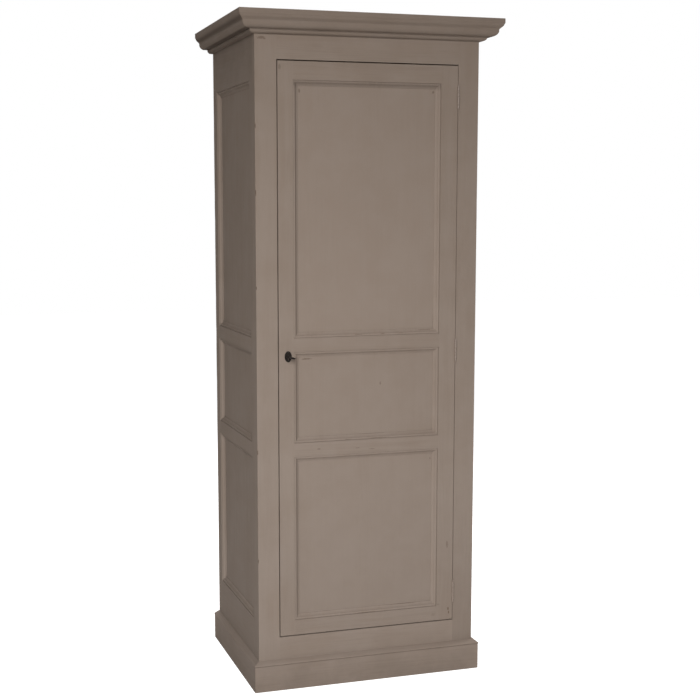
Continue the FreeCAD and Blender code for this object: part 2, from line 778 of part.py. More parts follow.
left_cutters = mortises + [frame_screws]
keep(cut("face_stile_left_cut", face_stile("face_stile_left_blank", (-side, opening_left)),
         left_cutters), "face_stile_left")
right_recesses = leaf_recesses("frame_recess", (opening_right, opening_right + leaf_let_in))
keep(cut("face_stile_right_cut", face_stile("face_stile_right_blank", (opening_right, side)),
         mortises + right_recesses + [frame_screws]), "face_stile_right")

# ---------------------------------------------------------------- door

door_along = (door_left + lock_stile_width, door_right - hinge_stile_width)
door_up = (door_bottom, door_top)

# The keyhole: a round hole with a slot below it that the key's bit passes through.
hole_radius = shank_radius + keyhole_clearance
slot_half = bit_thickness / 2 + keyhole_clearance
slot_end = key_height - bit_reach - keyhole_clearance
hole_start = front - plate_thickness
hole_length = plate_thickness + door_thickness + case_wall
keyhole = join("keyhole", [
    rod("keyhole_round", hole_radius, hole_length, (key_x, hole_start, key_height),
        Vector(0, 1, 0)),
    box("keyhole_slot", (key_x - slot_half, key_x + slot_half),
        (hole_start, hole_start + hole_length), (slot_end, key_height)),
])

plate_pin_parts = []
for pin, level in enumerate((key_height - plate_half_height + plate_pin_inset,
                             key_height + plate_half_height - plate_pin_inset)):
    start = (key_x, hole_start, level)
    shank = plate_pin_radius / 2
    plate_pin_parts.append(rod("plate_pin_%d" % pin, shank, plate_pin_length, start,
                               Vector(0, 1, 0)))
    plate_pin_parts.append(rod("plate_pin_head_%d" % pin, plate_pin_radius, shank, start,
                               Vector(0, -1, 0)))
plate_pins = keep(join("plate_pin_set", plate_pin_parts), "escutcheon_pins")

lock_along = (door_left, door_along[0])
lock_stile = stile("door_lock_stile", FRONT, lock_along, door_up, door_thickness, 1)
keep(cut("door_stile_lock_cut", lock_stile, [keyhole, plate_pins, door_screws]),
     "door_stile_lock")
hinge_along = (door_along[1], door_right)
hinge_stile = stile("door_hinge_stile", FRONT, hinge_along, door_up, door_thickness, 0)
door_recesses = leaf_recesses("door_recess", (door_right - leaf_let_in, door_right))
keep(cut("door_stile_hinge_cut", hinge_stile, door_recesses + [door_screws]),
     "door_stile_hinge")

rail("door_rail_bottom", FRONT, door_along, (door_bottom, panel_levels["bottom"][0]),
     door_thickness, True, False)
rail("door_rail_lower", FRONT, door_along,
     (panel_levels["bottom"][1], panel_levels["middle"][0]), door_thickness, True, True)
rail("door_rail_upper", FRONT, door_along,
     (panel_levels["middle"][1], panel_levels["top"][0]), door_thickness, True, True)
rail("door_rail_top", FRONT, door_along, (panel_levels["top"][1], door_top),
     door_thickness, False, True)
for level, up in panel_levels.items():
    panel("door_panel_" + level, FRONT, door_along, up)
    strips = moulding_frame("door_moulding_" + level, FRONT, door_along, up)
    keep(group("door_moulding_set_" + level, strips), "door_moulding_" + level)

# ---------------------------------------------------------------- escutcheon

oval = document.addObject("Part::Ellipse", "escutcheon_oval")
bind(oval, "MajorRadius", plate_half_height)
bind(oval, "MinorRadius", plate_half_width)
oval.Placement = Placement(Vector(), Rotation(UP, Vector(1, 0, 0), Vector(0, 1, 0)))
move(oval, key_x, hole_start, key_height)
oval_plate = document.addObject("Part::Extrusion", "escutcheon_blank")
oval_plate.Base = oval
oval_plate.DirMode = "Custom"
oval_plate.Dir = Vector(0, 1, 0)
oval_plate.Solid = True
bind(oval_plate, "LengthFwd", plate_thickness)
keep(cut("escutcheon_cut", oval_plate, [keyhole, plate_pins]), "escutcheon")

# ---------------------------------------------------------------- lock case, bolt and keeper

case_back = door_back + case_depth
case_x = (door_left, door_left + case_width)
tip_hole_radius = shank_radius + shank_clearance
bolt_y = ((case_sheet_back + case_back - case_wall - bolt_thickness) / 2,
          (case_sheet_back + case_back - case_wall + bolt_thickness) / 2)
bolt_slot = box("bolt_slot", (case_x[0], case_x[0] + case_wall),
                (bolt_y[0] - bolt_clearance, bolt_y[1] + bolt_clearance),
                (bolt_bottom - bolt_clearance, bolt_top + bolt_clearance))
case_hollow = box("case_hollow", (case_x[0] + case_wall, case_x[1] - case_wall),
                  (case_sheet_back, case_back - case_wall),
                  (case_body[0] + case_wall, case_body[1] - case_wall))
case_blank = join("lock_case_blank", [
    box("lock_case_sheet", case_x, (door_back, case_sheet_back), case_tabs),
    box("lock_case_box", case_x, (door_back, case_back), case_body),
])
tip_hole = rod("key_tip_hole", tip_hole_radius, case_wall,
               (key_x, case_back - case_wall, key_height), Vector(0, 1, 0))
keep(cut("lock_case_cut", case_blank,
         [case_hollow, bolt_slot, tip_hole, keyhole, door_screws]), "lock_case")

keep(box("bolt_bar", (door_left, door_left + bolt_length), bolt_y, (bolt_bottom, bolt_top)),
     "lock_bolt")

keeper_blank = join("keeper_blank", [
    box("keeper_plate", (keeper_left, keeper_right), (face_back, face_back + keeper_wall),
        keeper_tabs),
    box("keeper_block", (keeper_left, keeper_right),
        (face_back, bolt_y[1] + keeper_play_room), keeper_body),
])
keeper_pocket = box("keeper_pocket", (keeper_left + keeper_wall, keeper_right),
                    (bolt_y[0] - keeper_play, bolt_y[1] + keeper_play),
                    (bolt_bottom - keeper_play, bolt_top + keeper_play))
keep(cut("keeper_cut", keeper_blank, [keeper_pocket, frame_screws]), "keeper")

# ---------------------------------------------------------------- key

# The key is built about its own shank along Y, with its bow level, and then tilted.
bow_outer = bow_radius + bow_bar_radius
bow_middle = -(key_reach + bow_outer)
tip = door_thickness + case_depth
bit_middle = (case_sheet_back + case_back - case_wall) / 2 - front
bow = document.addObject("Part::Torus", "key_bow")
bind(bow, "Radius1", bow_radius)
bind(bow, "Radius2", bow_bar_radius)
bind(bow, "Placement.Base.y", bow_middle)
collar_start = -(key_reach + bow_bar_radius)
key_body = keep(join("key_blank", [
    bow,
    rod("key_shank", shank_radius, tip - collar_start, (0, collar_start, 0), Vector(0, 1, 0)),
    rod("key_collar", collar_radius, collar_length, (0, -key_reach + collar_length, 0),
        Vector(0, 1, 0)),
    box("key_bit", (0, bit_reach), (bit_middle - bit_length / 2, bit_middle + bit_length / 2),
        (-bit_thickness / 2, bit_thickness / 2)),
]), "key")
key_body.Placement = Placement(Vector(), Rotation(Vector(0, 1, 0), KEY_TILT))
move(key_body, key_x, front, key_height)

# ---------------------------------------------------------------- build, check and write

document.recompute()
for thing in document.Objects:
    if "Invalid" in thing.State or "Error" in thing.State:
        raise RuntimeError("%s failed: %s" % (thing.Label, thing.State))
for piece in pieces:
    if piece.Shape.isNull() or not piece.Shape.isValid():
        raise RuntimeError("%s has no valid shape" % piece.Label)

os.makedirs("parts", exist_ok=True)
for piece in pieces:
    piece.Shape.exportStep(os.path.join("parts", piece.Label + ".step"))
print("%d nodes, %d solids" % (len(pieces), sum(len(piece.Shape.Solids) for piece in pieces)))
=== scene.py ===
import bmesh
import bpy
import json
import math
from mathutils import Matrix, Vector, geometry, noise
from mathutils.bvhtree import BVHTree

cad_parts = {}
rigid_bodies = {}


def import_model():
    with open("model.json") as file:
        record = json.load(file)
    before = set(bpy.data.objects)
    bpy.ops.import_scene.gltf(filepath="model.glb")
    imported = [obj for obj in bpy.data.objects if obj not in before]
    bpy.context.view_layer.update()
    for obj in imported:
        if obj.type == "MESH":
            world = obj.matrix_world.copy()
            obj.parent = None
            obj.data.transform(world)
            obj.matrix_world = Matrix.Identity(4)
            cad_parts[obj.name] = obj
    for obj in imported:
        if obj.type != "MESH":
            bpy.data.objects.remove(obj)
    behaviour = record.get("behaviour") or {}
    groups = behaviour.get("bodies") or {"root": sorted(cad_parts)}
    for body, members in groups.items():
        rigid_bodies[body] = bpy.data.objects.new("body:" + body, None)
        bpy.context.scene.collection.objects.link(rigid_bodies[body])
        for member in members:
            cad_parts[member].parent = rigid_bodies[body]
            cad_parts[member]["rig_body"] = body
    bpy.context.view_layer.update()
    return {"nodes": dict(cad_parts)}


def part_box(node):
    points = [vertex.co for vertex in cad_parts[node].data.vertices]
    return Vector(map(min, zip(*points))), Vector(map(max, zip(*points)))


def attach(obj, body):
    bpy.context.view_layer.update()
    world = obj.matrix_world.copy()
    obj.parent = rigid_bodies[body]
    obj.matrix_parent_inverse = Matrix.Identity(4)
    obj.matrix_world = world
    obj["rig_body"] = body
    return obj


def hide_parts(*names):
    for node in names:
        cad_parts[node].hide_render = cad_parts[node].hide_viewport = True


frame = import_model()

# ---------------------------------------------------------------- face frame
# Two full-height stiles and two rails of softwood, tenoned together at the front of the
# carcase and planed flush. The arrises are eased by hand, and the whole is brushed over with
# matt taupe paint that has rubbed through to the wood here and there.

MM = 0.001
ACROSS, DEEP, UP = 0, 1, 2                  # the cupboard's axes: X, Y and Z

PAINT_LOW = (0.285, 0.231, 0.194)           # the paint has yellowed more towards the top
PAINT_HIGH = (0.285, 0.2225, 0.1785)
PAINT_THIN = (0.250, 0.192, 0.151)          # where the brush left little of it
PAINT_PALE = (0.322, 0.264, 0.223)          # where it lies thick and has chalked
PAINT_LIGHTENED = (0.322, 0.256, 0.211)       # a paler coat: painted light on the door's top panel and top moulding, paler paint on the plinth
BARE_WOOD = (0.120, 0.078, 0.052)           # old wood that shows through a chip
# the dirt colour, also used for painted shade in corners, seams, hollows and under overhangs
DIRT_AND_SHADE = (0.103, 0.077, 0.059)
YELLOWED_ABOVE = 2.0
SOILED_BELOW = 0.17                         # mops and shoes have greyed the foot
FOOT_SOIL = 0.26
TOP_SHADE_FROM = 1.72                         # painted shade on the sides under the cornice starts here
TOP_SHADE_FULL = 1.92
MATT_DRY, MATT_SMOOTH = 0.76, 0.64          # roughness between the bristle marks and on them
ARRIS_REACH = 2.2 * MM                      # how far from an arris hands rub the paint
CORNER_SHADE_REACH = 4 * MM                        # how far painted shade and dirt spread out of a corner
# how far the painted shade in fine seams reaches
SEAM_SHADE_REACH = 1.8 * MM
SPOT_DEPTH = 4 * MM
STROKE_STRETCH = 0.035                      # a brush stroke is some thirty times as long as wide
STROKE_SWAY = 20 * MM                       # how far the strokes wander off a straight line
RINGS_PER_METRE = 75.0                      # growth rings that show through the paint
RING_DRIFT = 34.0                           # half rings by which they wander


class Wires:
    """Adds shader nodes to one node tree and joins their sockets."""

    def __init__(self, tree):
        self.tree = tree

    def feed(self, socket, value):
        if isinstance(value, bpy.types.NodeSocket):
            self.tree.links.new(value, socket)
        elif isinstance(value, tuple) and socket.type == "RGBA":
            socket.default_value = value + (1.0,)
        else:
            socket.default_value = value

    def node(self, kind, settings=None, **inputs):
        made = self.tree.nodes.new("ShaderNode" + kind)
        for name, value in (settings or {}).items():
            setattr(made, name, value)
        for name, value in inputs.items():
            self.feed(made.inputs[name.replace("_", " ")], value)
        return made

    def group(self, tree, **inputs):
        return self.node("Group", {"node_tree": tree}, **inputs)

    def math(self, operation, first, second=0.0):
        made = self.tree.nodes.new("ShaderNodeMath")
        made.operation = operation
        self.feed(made.inputs[0], first)
        self.feed(made.inputs[1], second)
        return made.outputs[0]

    def vector(self, operation, first, second):
        made = self.tree.nodes.new("ShaderNodeVectorMath")
        made.operation = operation
        self.feed(made.inputs[0], first)
        self.feed(made.inputs[1], second)
        return made.outputs["Value" if operation == "LENGTH" else "Vector"]

    def span(self, value, low, high, to_low=0.0, to_high=1.0):
        """A smooth step from to_low to to_high as value goes from low to high."""
        made = self.tree.nodes.new("ShaderNodeMapRange")
        made.interpolation_type = "SMOOTHSTEP"
        self.feed(made.inputs["Value"], value)
        self.feed(made.inputs["From Min"], low)
        self.feed(made.inputs["From Max"], high)
        self.feed(made.inputs["To Min"], to_low)
        self.feed(made.inputs["To Max"], to_high)
        return made.outputs["Result"]

    def mix(self, share, first, second):
        made = self.tree.nodes.new("ShaderNodeMix")
        made.data_type = "RGBA"
        self.feed(made.inputs[0], share)
        self.feed(made.inputs[6], first)
        self.feed(made.inputs[7], second)
        return made.outputs[2]

    def noise(self, position, scale, detail=2.0, roughness=0.5):
        made = self.node("TexNoise", Vector=position, Scale=scale, Detail=detail, Roughness=roughness)
        return made.outputs["Fac"]


def new_group(name, inputs, outputs):
    """An empty node group with its sockets, and the wires, input and output sockets inside it."""
    tree = bpy.data.node_groups.new(name, "ShaderNodeTree")
    for socket, kind in inputs:
        tree.interface.new_socket(socket, in_out="INPUT", socket_type="NodeSocket" + kind)
    for socket in outputs:
        tree.interface.new_socket(socket, in_out="OUTPUT", socket_type="NodeSocketFloat")
    wires = Wires(tree)
    inside = tree.nodes.new("NodeGroupInput").outputs
    outside = tree.nodes.new("NodeGroupOutput").inputs
    return tree, wires, inside, outside


def make_brush_strokes():
    """Long marks of a flat brush, and the raised grain of the wood under the paint."""
    tree, wires, given, result = new_group(
        "brush_strokes", [("Position", "Vector"), ("Stretch", "Vector"), ("Across", "Vector")],
        ["Streak", "Lay", "Relief", "Grain"])
    warp = wires.node("TexNoise", Vector=given["Position"], Scale=2.5, Detail=1.0)
    sway = wires.vector("MULTIPLY", warp.outputs["Color"], (STROKE_SWAY, STROKE_SWAY, STROKE_SWAY))
    swayed = wires.vector("ADD", given["Position"], sway)
    drawn = wires.vector("MULTIPLY", swayed, given["Stretch"])
    coarse = wires.noise(drawn, 95.0, 3.0, 0.6)
    bristles = wires.noise(drawn, 520.0, 2.0, 0.6)
    patches = wires.span(wires.noise(given["Position"], 7.0, 3.0), 0.35, 0.7)
    wires.feed(result["Streak"], wires.math("MULTIPLY", wires.span(coarse, 0.3, 0.72), patches))
    wide = wires.noise(drawn, 34.0, 2.0, 0.55)
    lay = wires.math("ADD", wires.math("MULTIPLY", wide, 0.5), wires.math("MULTIPLY", coarse, 0.5))
    wires.feed(result["Lay"], wires.span(lay, 0.4, 0.6))
    relief = wires.math("ADD", wires.math("MULTIPLY", coarse, 0.55),
                        wires.math("MULTIPLY", bristles, 0.45))
    wires.feed(result["Relief"], relief)
    across = wires.vector("MULTIPLY", given["Position"], given["Across"])
    parts = wires.node("SeparateXYZ", Vector=across).outputs
    level = wires.math("ADD", wires.math("ADD", parts["X"], parts["Y"]), parts["Z"])
    drift = wires.math("MULTIPLY", wires.noise(drawn, 13.0, 3.0, 0.6), RING_DRIFT)
    count = wires.math("MULTIPLY", level, RINGS_PER_METRE * 2)
    rings = wires.math("PINGPONG", wires.math("ADD", count, drift), 1.0)
    broken = wires.math("MULTIPLY", wires.noise(given["Position"], 26.0, 3.0), 0.4)
    wide_patches = wires.math("MULTIPLY", wires.noise(drawn, 16.0, 2.0), 0.6)
    shows = wires.span(wires.math("ADD", wide_patches, broken), 0.42, 0.6)
    wires.feed(result["Grain"], wires.math("MULTIPLY", wires.span(rings, 0.7, 0.0), shows))
    return tree


def make_worn_edges():
    """Where an arris or a bead stands out and is rubbed: 1 on the barest spots."""
    tree, wires, given, result = new_group(
        "worn_edges",
        [("Position", "Vector"), ("Stretch", "Vector"), ("Reach", "Float"), ("Wear", "Float"),
         ("Exposed", "Float")],
        ["Rubbed", "Chipped"])
    edge = wires.node("AmbientOcclusion", {"inside": True, "only_local": True, "samples": 8},
                      Distance=given["Reach"])
    sharp = wires.math("SUBTRACT", 1.0, edge.outputs["AO"])
    drawn = wires.vector("MULTIPLY", given["Position"], given["Stretch"])
    long_runs = wires.noise(given["Position"], 5.0, 3.0, 0.6)
    flakes = wires.noise(drawn, 300.0, 3.0, 0.65)
    uneven = wires.math("ADD", wires.math("MULTIPLY", long_runs, 0.9),
                        wires.math("MULTIPLY", flakes, 0.7))
    bias = wires.math("SUBTRACT", wires.math("ADD", uneven, given["Wear"]), 1.15)
    amount = wires.math("ADD", sharp, bias)
    some_edge = wires.math("MULTIPLY", wires.span(sharp, 0.12, 0.3), given["Exposed"])
    wires.feed(result["Rubbed"], wires.math("MULTIPLY", wires.span(amount, 0.2, 0.75), some_edge))
    wires.feed(result["Chipped"], wires.math("MULTIPLY", wires.span(amount, 0.62, 0.72), some_edge))
    return tree


def make_grime_and_shade():
    """Painted shade, with dust and old wax, in the quirks and corners that ambient occlusion finds
    closed in; uneven along them.
    """
    tree, wires, given, result = new_group(
        "grime_and_shade", [("Position", "Vector"), ("Reach", "Float")], ["Dirty"])
    corner = wires.node("AmbientOcclusion", {"samples": 8}, Distance=given["Reach"])
    closed = wires.span(wires.math("SUBTRACT", 1.0, corner.outputs["AO"]), 0.25, 0.95)
    uneven = wires.span(wires.noise(given["Position"], 38.0, 3.0), 0.25, 0.75, 0.45, 1.0)
    wires.feed(result["Dirty"], wires.math("MULTIPLY", closed, uneven))
    return tree


def make_spot():
    """One ragged spot, such as a knot, chip or bruise, at a place on the surface."""
    tree, wires, given, result = new_group(
        "spot", [("Position", "Vector"), ("Centre", "Vector"), ("Reach", "Vector")], ["Mask"])
    jitter = wires.node("TexNoise", Vector=given["Position"], Scale=260.0, Detail=2.0)
    centred = wires.vector("SUBTRACT", jitter.outputs["Color"], (0.5, 0.5, 0.5))
    moved = wires.vector("MULTIPLY", centred, given["Reach"])
    away = wires.vector("SUBTRACT", wires.vector("ADD", given["Position"], moved), given["Centre"])
    shares = wires.vector("DIVIDE", away, given["Reach"])
    distance = wires.vector("LENGTH", shares, (0, 0, 0))
    wires.feed(result["Mask"], wires.span(distance, 1.0, 0.55))
    return tree


brush_strokes = make_brush_strokes()
worn_edges = make_worn_edges()
grime_and_shade = make_grime_and_shade()
spot = make_spot()


def add_spots(wires, position, spots):
    """The strongest of a list of spots in millimetres.

    Each is its x, how deep it lies behind the front, its z, half width, half height and how bare
    it is."""
    total = 0.0
    for x, deep, z, half_width, half_height, bare in spots:
        mark = wires.group(spot, Position=position, Centre=(x * MM, FRONT + deep * MM, z * MM),
                           Reach=(half_width * MM, SPOT_DEPTH, half_height * MM))
        total = wires.math("MAXIMUM", total, wires.math("MULTIPLY", mark.outputs["Mask"], bare))
    return total


def painted(name, along, wear=0.0, marks=(), seam_shade=0.0, soil_and_shade=0.0, streaks=1.0, grain=0.04,
            upward_shade=0.0, top_shade=0.0, lightening=0.0, dark_bands=()):
    """Brushed matt paint whose strokes run along one axis.

    marks are its bare spots, seam_shade the painted shade in its seams and quirks, soil_and_shade how
    much darker the whole is beside the foot's dirt (painted shade on the cornice), upward_shade the
    painted shade on what faces up (painted light where less than 0), top_shade the painted shade under
    the cornice and lightening how much paler the coat is (painted light on the door's top panel and top
    moulding).
    dark_bands are level: each is its z, its half height, both in millimetres, and how dark it is."""
    material = bpy.data.materials.new(name)
    material.use_nodes = True
    wires = Wires(material.node_tree)
    surface = material.node_tree.nodes["Principled BSDF"]
    position = wires.node("TexCoord").outputs["Object"]
    stretch = [1.0, 1.0, 1.0]
    stretch[along] = STROKE_STRETCH
    across = [float(axis != along) for axis in (ACROSS, DEEP, UP)]
    strokes = wires.group(brush_strokes, Position=position, Stretch=stretch, Across=across)
    exposed = wires.node("Attribute", {"attribute_name": "exposed"}).outputs["Fac"]
    exposed = wires.span(exposed, 0.5, 0.95)
    edges = wires.group(worn_edges, Position=position, Stretch=stretch, Reach=ARRIS_REACH, Wear=wear,
                        Exposed=exposed)
    corner_dirt_and_shade = wires.group(grime_and_shade, Position=position, Reach=CORNER_SHADE_REACH)

    cloudy = wires.noise(position, 3.2, 4.0, 0.6)
    mottled = wires.noise(position, 15.0, 3.0, 0.6)
    height = wires.node("SeparateXYZ", Vector=position).outputs["Z"]
    coat = wires.mix(wires.span(height, 0.0, YELLOWED_ABOVE), PAINT_LOW, PAINT_HIGH)
    colour = wires.mix(wires.span(cloudy, 0.3, 0.7, 0.0, 0.26), coat, PAINT_THIN)
    # a paler coat, which on the door's top panel and top moulding is painted light
    if lightening:
        colour = wires.mix(lightening, colour, PAINT_LIGHTENED)
    colour = wires.mix(wires.span(mottled, 0.34, 0.66, 0.0, 0.24), colour, PAINT_PALE)
    thick = wires.math("MULTIPLY", strokes.outputs["Lay"], 0.3 * streaks)
    colour = wires.mix(thick, colour, PAINT_PALE)
    thin = wires.math("MULTIPLY", strokes.outputs["Streak"], 0.5 * streaks)
    colour = wires.mix(thin, colour, PAINT_THIN)
    colour = wires.mix(wires.math("MULTIPLY", strokes.outputs["Grain"], grain), colour, BARE_WOOD)
    colour = wires.mix(wires.math("MULTIPLY", edges.outputs["Rubbed"], 0.5), colour, PAINT_THIN)
    # painted shade and dirt in the corners, where ambient occlusion finds them closed in
    colour = wires.mix(wires.math("MULTIPLY", corner_dirt_and_shade.outputs["Dirty"], 0.16), colour, DIRT_AND_SHADE)
    # painted shade and dirt in the fine seams and quirks
    if seam_shade:
        seam_shade_mask = wires.group(grime_and_shade, Position=position, Reach=SEAM_SHADE_REACH)
        colour = wires.mix(wires.math("MULTIPLY", seam_shade_mask.outputs["Dirty"], seam_shade), colour, DIRT_AND_SHADE)
    # level dark bands: some are painted shade under overhangs and in hollows, others make the foot
    # darker
    for z, half_height, dark in dark_bands:
        off = wires.math("ABSOLUTE", wires.math("SUBTRACT", height, z * MM))
        colour = wires.mix(wires.span(off, half_height * MM, 0.0, 0.0, dark), colour, DIRT_AND_SHADE)
    smears = wires.span(wires.noise(position, 11.0, 4.0, 0.65), 0.3, 0.7, 0.7, 1.25)
    # dirt at the foot, over a darkening of the whole that is painted shade on the cornice
    foot = wires.span(height, SOILED_BELOW, 0.0, soil_and_shade, soil_and_shade + FOOT_SOIL)
    # painted shade under the cornice, growing towards the top
    top = wires.span(height, TOP_SHADE_FROM, TOP_SHADE_FULL, 0.0, top_shade)
    # painted shade on what faces up; a value below 0 paints light there instead
    facing = wires.node("NewGeometry").outputs["Normal"]
    facing_up = wires.node("SeparateXYZ", Vector=facing).outputs["Z"]
    upward_shading = wires.span(facing_up, 0.2, 0.8, 0.0, upward_shade)
    # the foot's dirt with the painted shade at the top and on upward faces, made uneven
    dirt_and_shade_share = wires.math("MULTIPLY", wires.math("ADD", foot, wires.math("ADD", top, upward_shading)), smears)
    colour = wires.mix(dirt_and_shade_share, colour, DIRT_AND_SHADE)
    bare = wires.math("MAXIMUM", edges.outputs["Chipped"], add_spots(wires, position, marks))
    colour = wires.mix(wires.math("MULTIPLY", bare, 0.85), colour, BARE_WOOD)
    wires.feed(surface.inputs["Base Color"], colour)
    roughness = wires.span(strokes.outputs["Relief"], 0.3, 0.7, MATT_DRY, MATT_SMOOTH)
    wires.feed(surface.inputs["Roughness"], roughness)
    surface.inputs["Specular IOR Level"].default_value = 0.02

    relief = wires.math("SUBTRACT", wires.math("MULTIPLY", strokes.outputs["Relief"], 0.5), bare)
    relief = wires.math("SUBTRACT", relief, wires.math("MULTIPLY", strokes.outputs["Grain"], grain * 2))
    bump = wires.node("Bump", Height=relief, Strength=0.55, Distance=0.16 * MM)
    wires.feed(surface.inputs["Normal"], bump.outputs["Normal"])
    return material


def solid_tree(node):
    """The faces of a piece's solid, in a tree that finds the nearest one to a point."""
    mesh = frame["nodes"][node].data
    points = [vertex.co for vertex in mesh.vertices]
    return BVHTree.FromPolygons(points, [tuple(face.vertices) for face in mesh.polygons])


solids = {node: (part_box(node), solid_tree(node)) for node in frame["nodes"]}


def in_another(node, point):
    """Whether a point lies in the wood or iron of some other piece."""
    for other, ((low, high), tree) in solids.items():
        if other == node or any(not low[i] < point[i] < high[i] for i in range(3)):
            continue
        nearest, normal, _, _ = tree.find_nearest(point)
        if (point - nearest).dot(normal) < 0:
            return True
    return False


def finish_mesh(mesh, node, materials, sheltered=()):
    """Make a node's replacing piece of a mesh, with normals that keep its flats flat.

    sheltered are the points at its flush joints, where nothing rubs the paint."""
    exposed = mesh.attributes.new("exposed", "FLOAT", "POINT")
    exposed.data.foreach_set("value", [1.0] * len(mesh.vertices))
    for i in sheltered:
        exposed.data[i].value = 0.0
    piece = bpy.data.objects.new("made_" + node, mesh)
    bpy.context.scene.collection.objects.link(piece)
    for material in materials:
        mesh.materials.append(material)
    mesh.shade_smooth()
    flats = piece.modifiers.new("flats", "WEIGHTED_NORMAL")
    flats.keep_sharp = True
    body = frame["nodes"][node]["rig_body"]
    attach(piece, body)
    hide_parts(node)


PROBE = 0.7 * MM                            # how far off an arris a neighbour is looked for
SHORTEST_ARRIS = 14 * MM
ARRIS_STEP = 28 * MM
ARRIS_ANGLE = math.radians(35)
FLAT_ANGLE = math.radians(0.5)
WELD = 0.002 * MM
HALVINGS = 7                                # they find a joint's end to a fraction of a millimetre
WEAR_WAVES = 14                             # per metre: long hollows worn in an arris
WEAR_NICKS = 60                             # and shorter ones in them
NICK_SHARE = 0.6                            # how deep the short ones are beside the long ones
WEAR_DEPTH = 0.45                           # share of the arris
SHELTER = 1.5                               # arris widths from a flush joint that nothing rubs


def cut_at_joints(node, edge):
    """Split an arris where it starts or stops lying flush against another piece.

    Returns its exposed parts and its flush parts."""
    first = edge.verts[0]
    start = first.co.copy()
    way = edge.verts[1].co - start
    one, two = (face.normal for face in edge.link_faces)
    sides = ((one - two) * PROBE, (two - one) * PROBE)

    def flush(share):
        return any(in_another(node, start + way * share + side) for side in sides)

    count = max(2, int(way.length / ARRIS_STEP))
    shares = [(step + 0.5) / count for step in range(count)]
    states = [flush(share) for share in shares]
    ends = []
    for step in range(count - 1):
        if states[step] == states[step + 1]:
            continue
        low, high = shares[step], shares[step + 1]
        for _ in range(HALVINGS):
            middle = (low + high) / 2
            if flush(middle) == states[step]:
                low = middle
            else:
                high = middle
        ends.append((high, states[step + 1]))
    parts = {False: [], True: []}
    remaining = 1.0
    for share, state in reversed(ends):
        other, _ = bmesh.utils.edge_split(edge, first, share / remaining)
        far, edge = (edge, other) if first in other.verts else (other, edge)
        parts[state].append(far)
        remaining = share
    parts[states[0]].append(edge)
    return parts[False], parts[True]


def beside(point, start, end, reach):
    """Whether a point lies within reach of the line from start to end."""
    nearest, share = geometry.intersect_point_line(point, start, end)
    beyond = max(-share, share - 1, 0) * (end - start).length
    return (point - nearest).length < reach and beyond < reach


def find_arrises(bm, node):
    """A board's long free arrises, and the two ends of each one that lies flush at a joint."""
    exposed = []
    joints = []
    for edge in list(bm.edges):
        if len(edge.link_faces) != 2 or edge.calc_face_angle(0) < ARRIS_ANGLE:
            continue
        edge.smooth = False
        if not edge.is_convex or edge.calc_length() < SHORTEST_ARRIS:
            continue
        free, flush = cut_at_joints(node, edge)
        exposed += free
        joints += [[vertex.co.copy() for vertex in part.verts] for part in flush]
    return exposed, joints


def in_steps(bm, edges):
    """The edges, each cut into steps that can follow the wear along it."""
    cuts = {}
    for edge in edges:
        cuts.setdefault(int(edge.calc_length() / ARRIS_STEP), []).append(edge)
    steps = []
    for count, alike in cuts.items():
        if count:
            split = bmesh.ops.bisect_edges(bm, edges=alike, cuts=count)["geom_split"]
            alike = [part for part in split if isinstance(part, bmesh.types.BMEdge)]
        steps += alike
    return steps


def eased(node, materials, arris, second=None):
    """A board with its long arrises rounded by hand, more or less along their length.

    An arris stays sharp where it lies flush against another piece. second tells by a face's
    middle and normal whether it takes the second material."""
    bm = bmesh.new()
    bm.from_mesh(frame["nodes"][node].data)
    bmesh.ops.remove_doubles(bm, verts=bm.verts, dist=WELD)
    bmesh.ops.dissolve_limit(bm, angle_limit=FLAT_ANGLE, verts=bm.verts, edges=bm.edges)
    bm.normal_update()
    exposed, joints = find_arrises(bm, node)
    steps = in_steps(bm, exposed)
    for edge in steps:
        edge.smooth = True
    before = set(bm.verts)
    bmesh.ops.bevel(bm, geom=steps, offset=arris, segments=3, profile=0.5, affect="EDGES",
                    clamp_overlap=False)
    bm.normal_update()
    bm.verts.index_update()
    sheltered = []
    for vertex in bm.verts:
        if any(beside(vertex.co, start, end, arris * SHELTER) for start, end in joints):
            sheltered.append(vertex.index)
            for edge in vertex.link_edges:
                edge.smooth = False
        elif vertex not in before:
            waves = noise.noise(vertex.co * WEAR_WAVES)
            nicks = noise.noise(vertex.co * WEAR_NICKS) * NICK_SHARE
            vertex.co -= vertex.normal * max(waves + nicks, 0) * arris * WEAR_DEPTH
    mesh = bpy.data.meshes.new(node + "_eased")
    if second:
        for face in bm.faces:
            face.material_index = int(second(face.calc_center_median(), face.normal))
    bm.to_mesh(mesh)
    bm.free()
    finish_mesh(mesh, node, materials, sheltered)


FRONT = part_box("face_stile_left")[0].y
FACE_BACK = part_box("face_stile_left")[1].y
# a bruise under the cornice, and rubs down the left corner
FRAME_MARKS = [
    (-327, 0, 1927, 16, 5, 0.6), (-317, 0, 1924, 6, 3, 0.55),
    (-346, 0, 1680, 1.6, 9, 1), (-346, 0, 1490, 1.5, 12, 1), (-346, 0, 1215, 1.5, 7, 1),
    (-346, 0, 730, 1.6, 10, 1), (-346, 0, 402, 1.4, 8, 1),
]


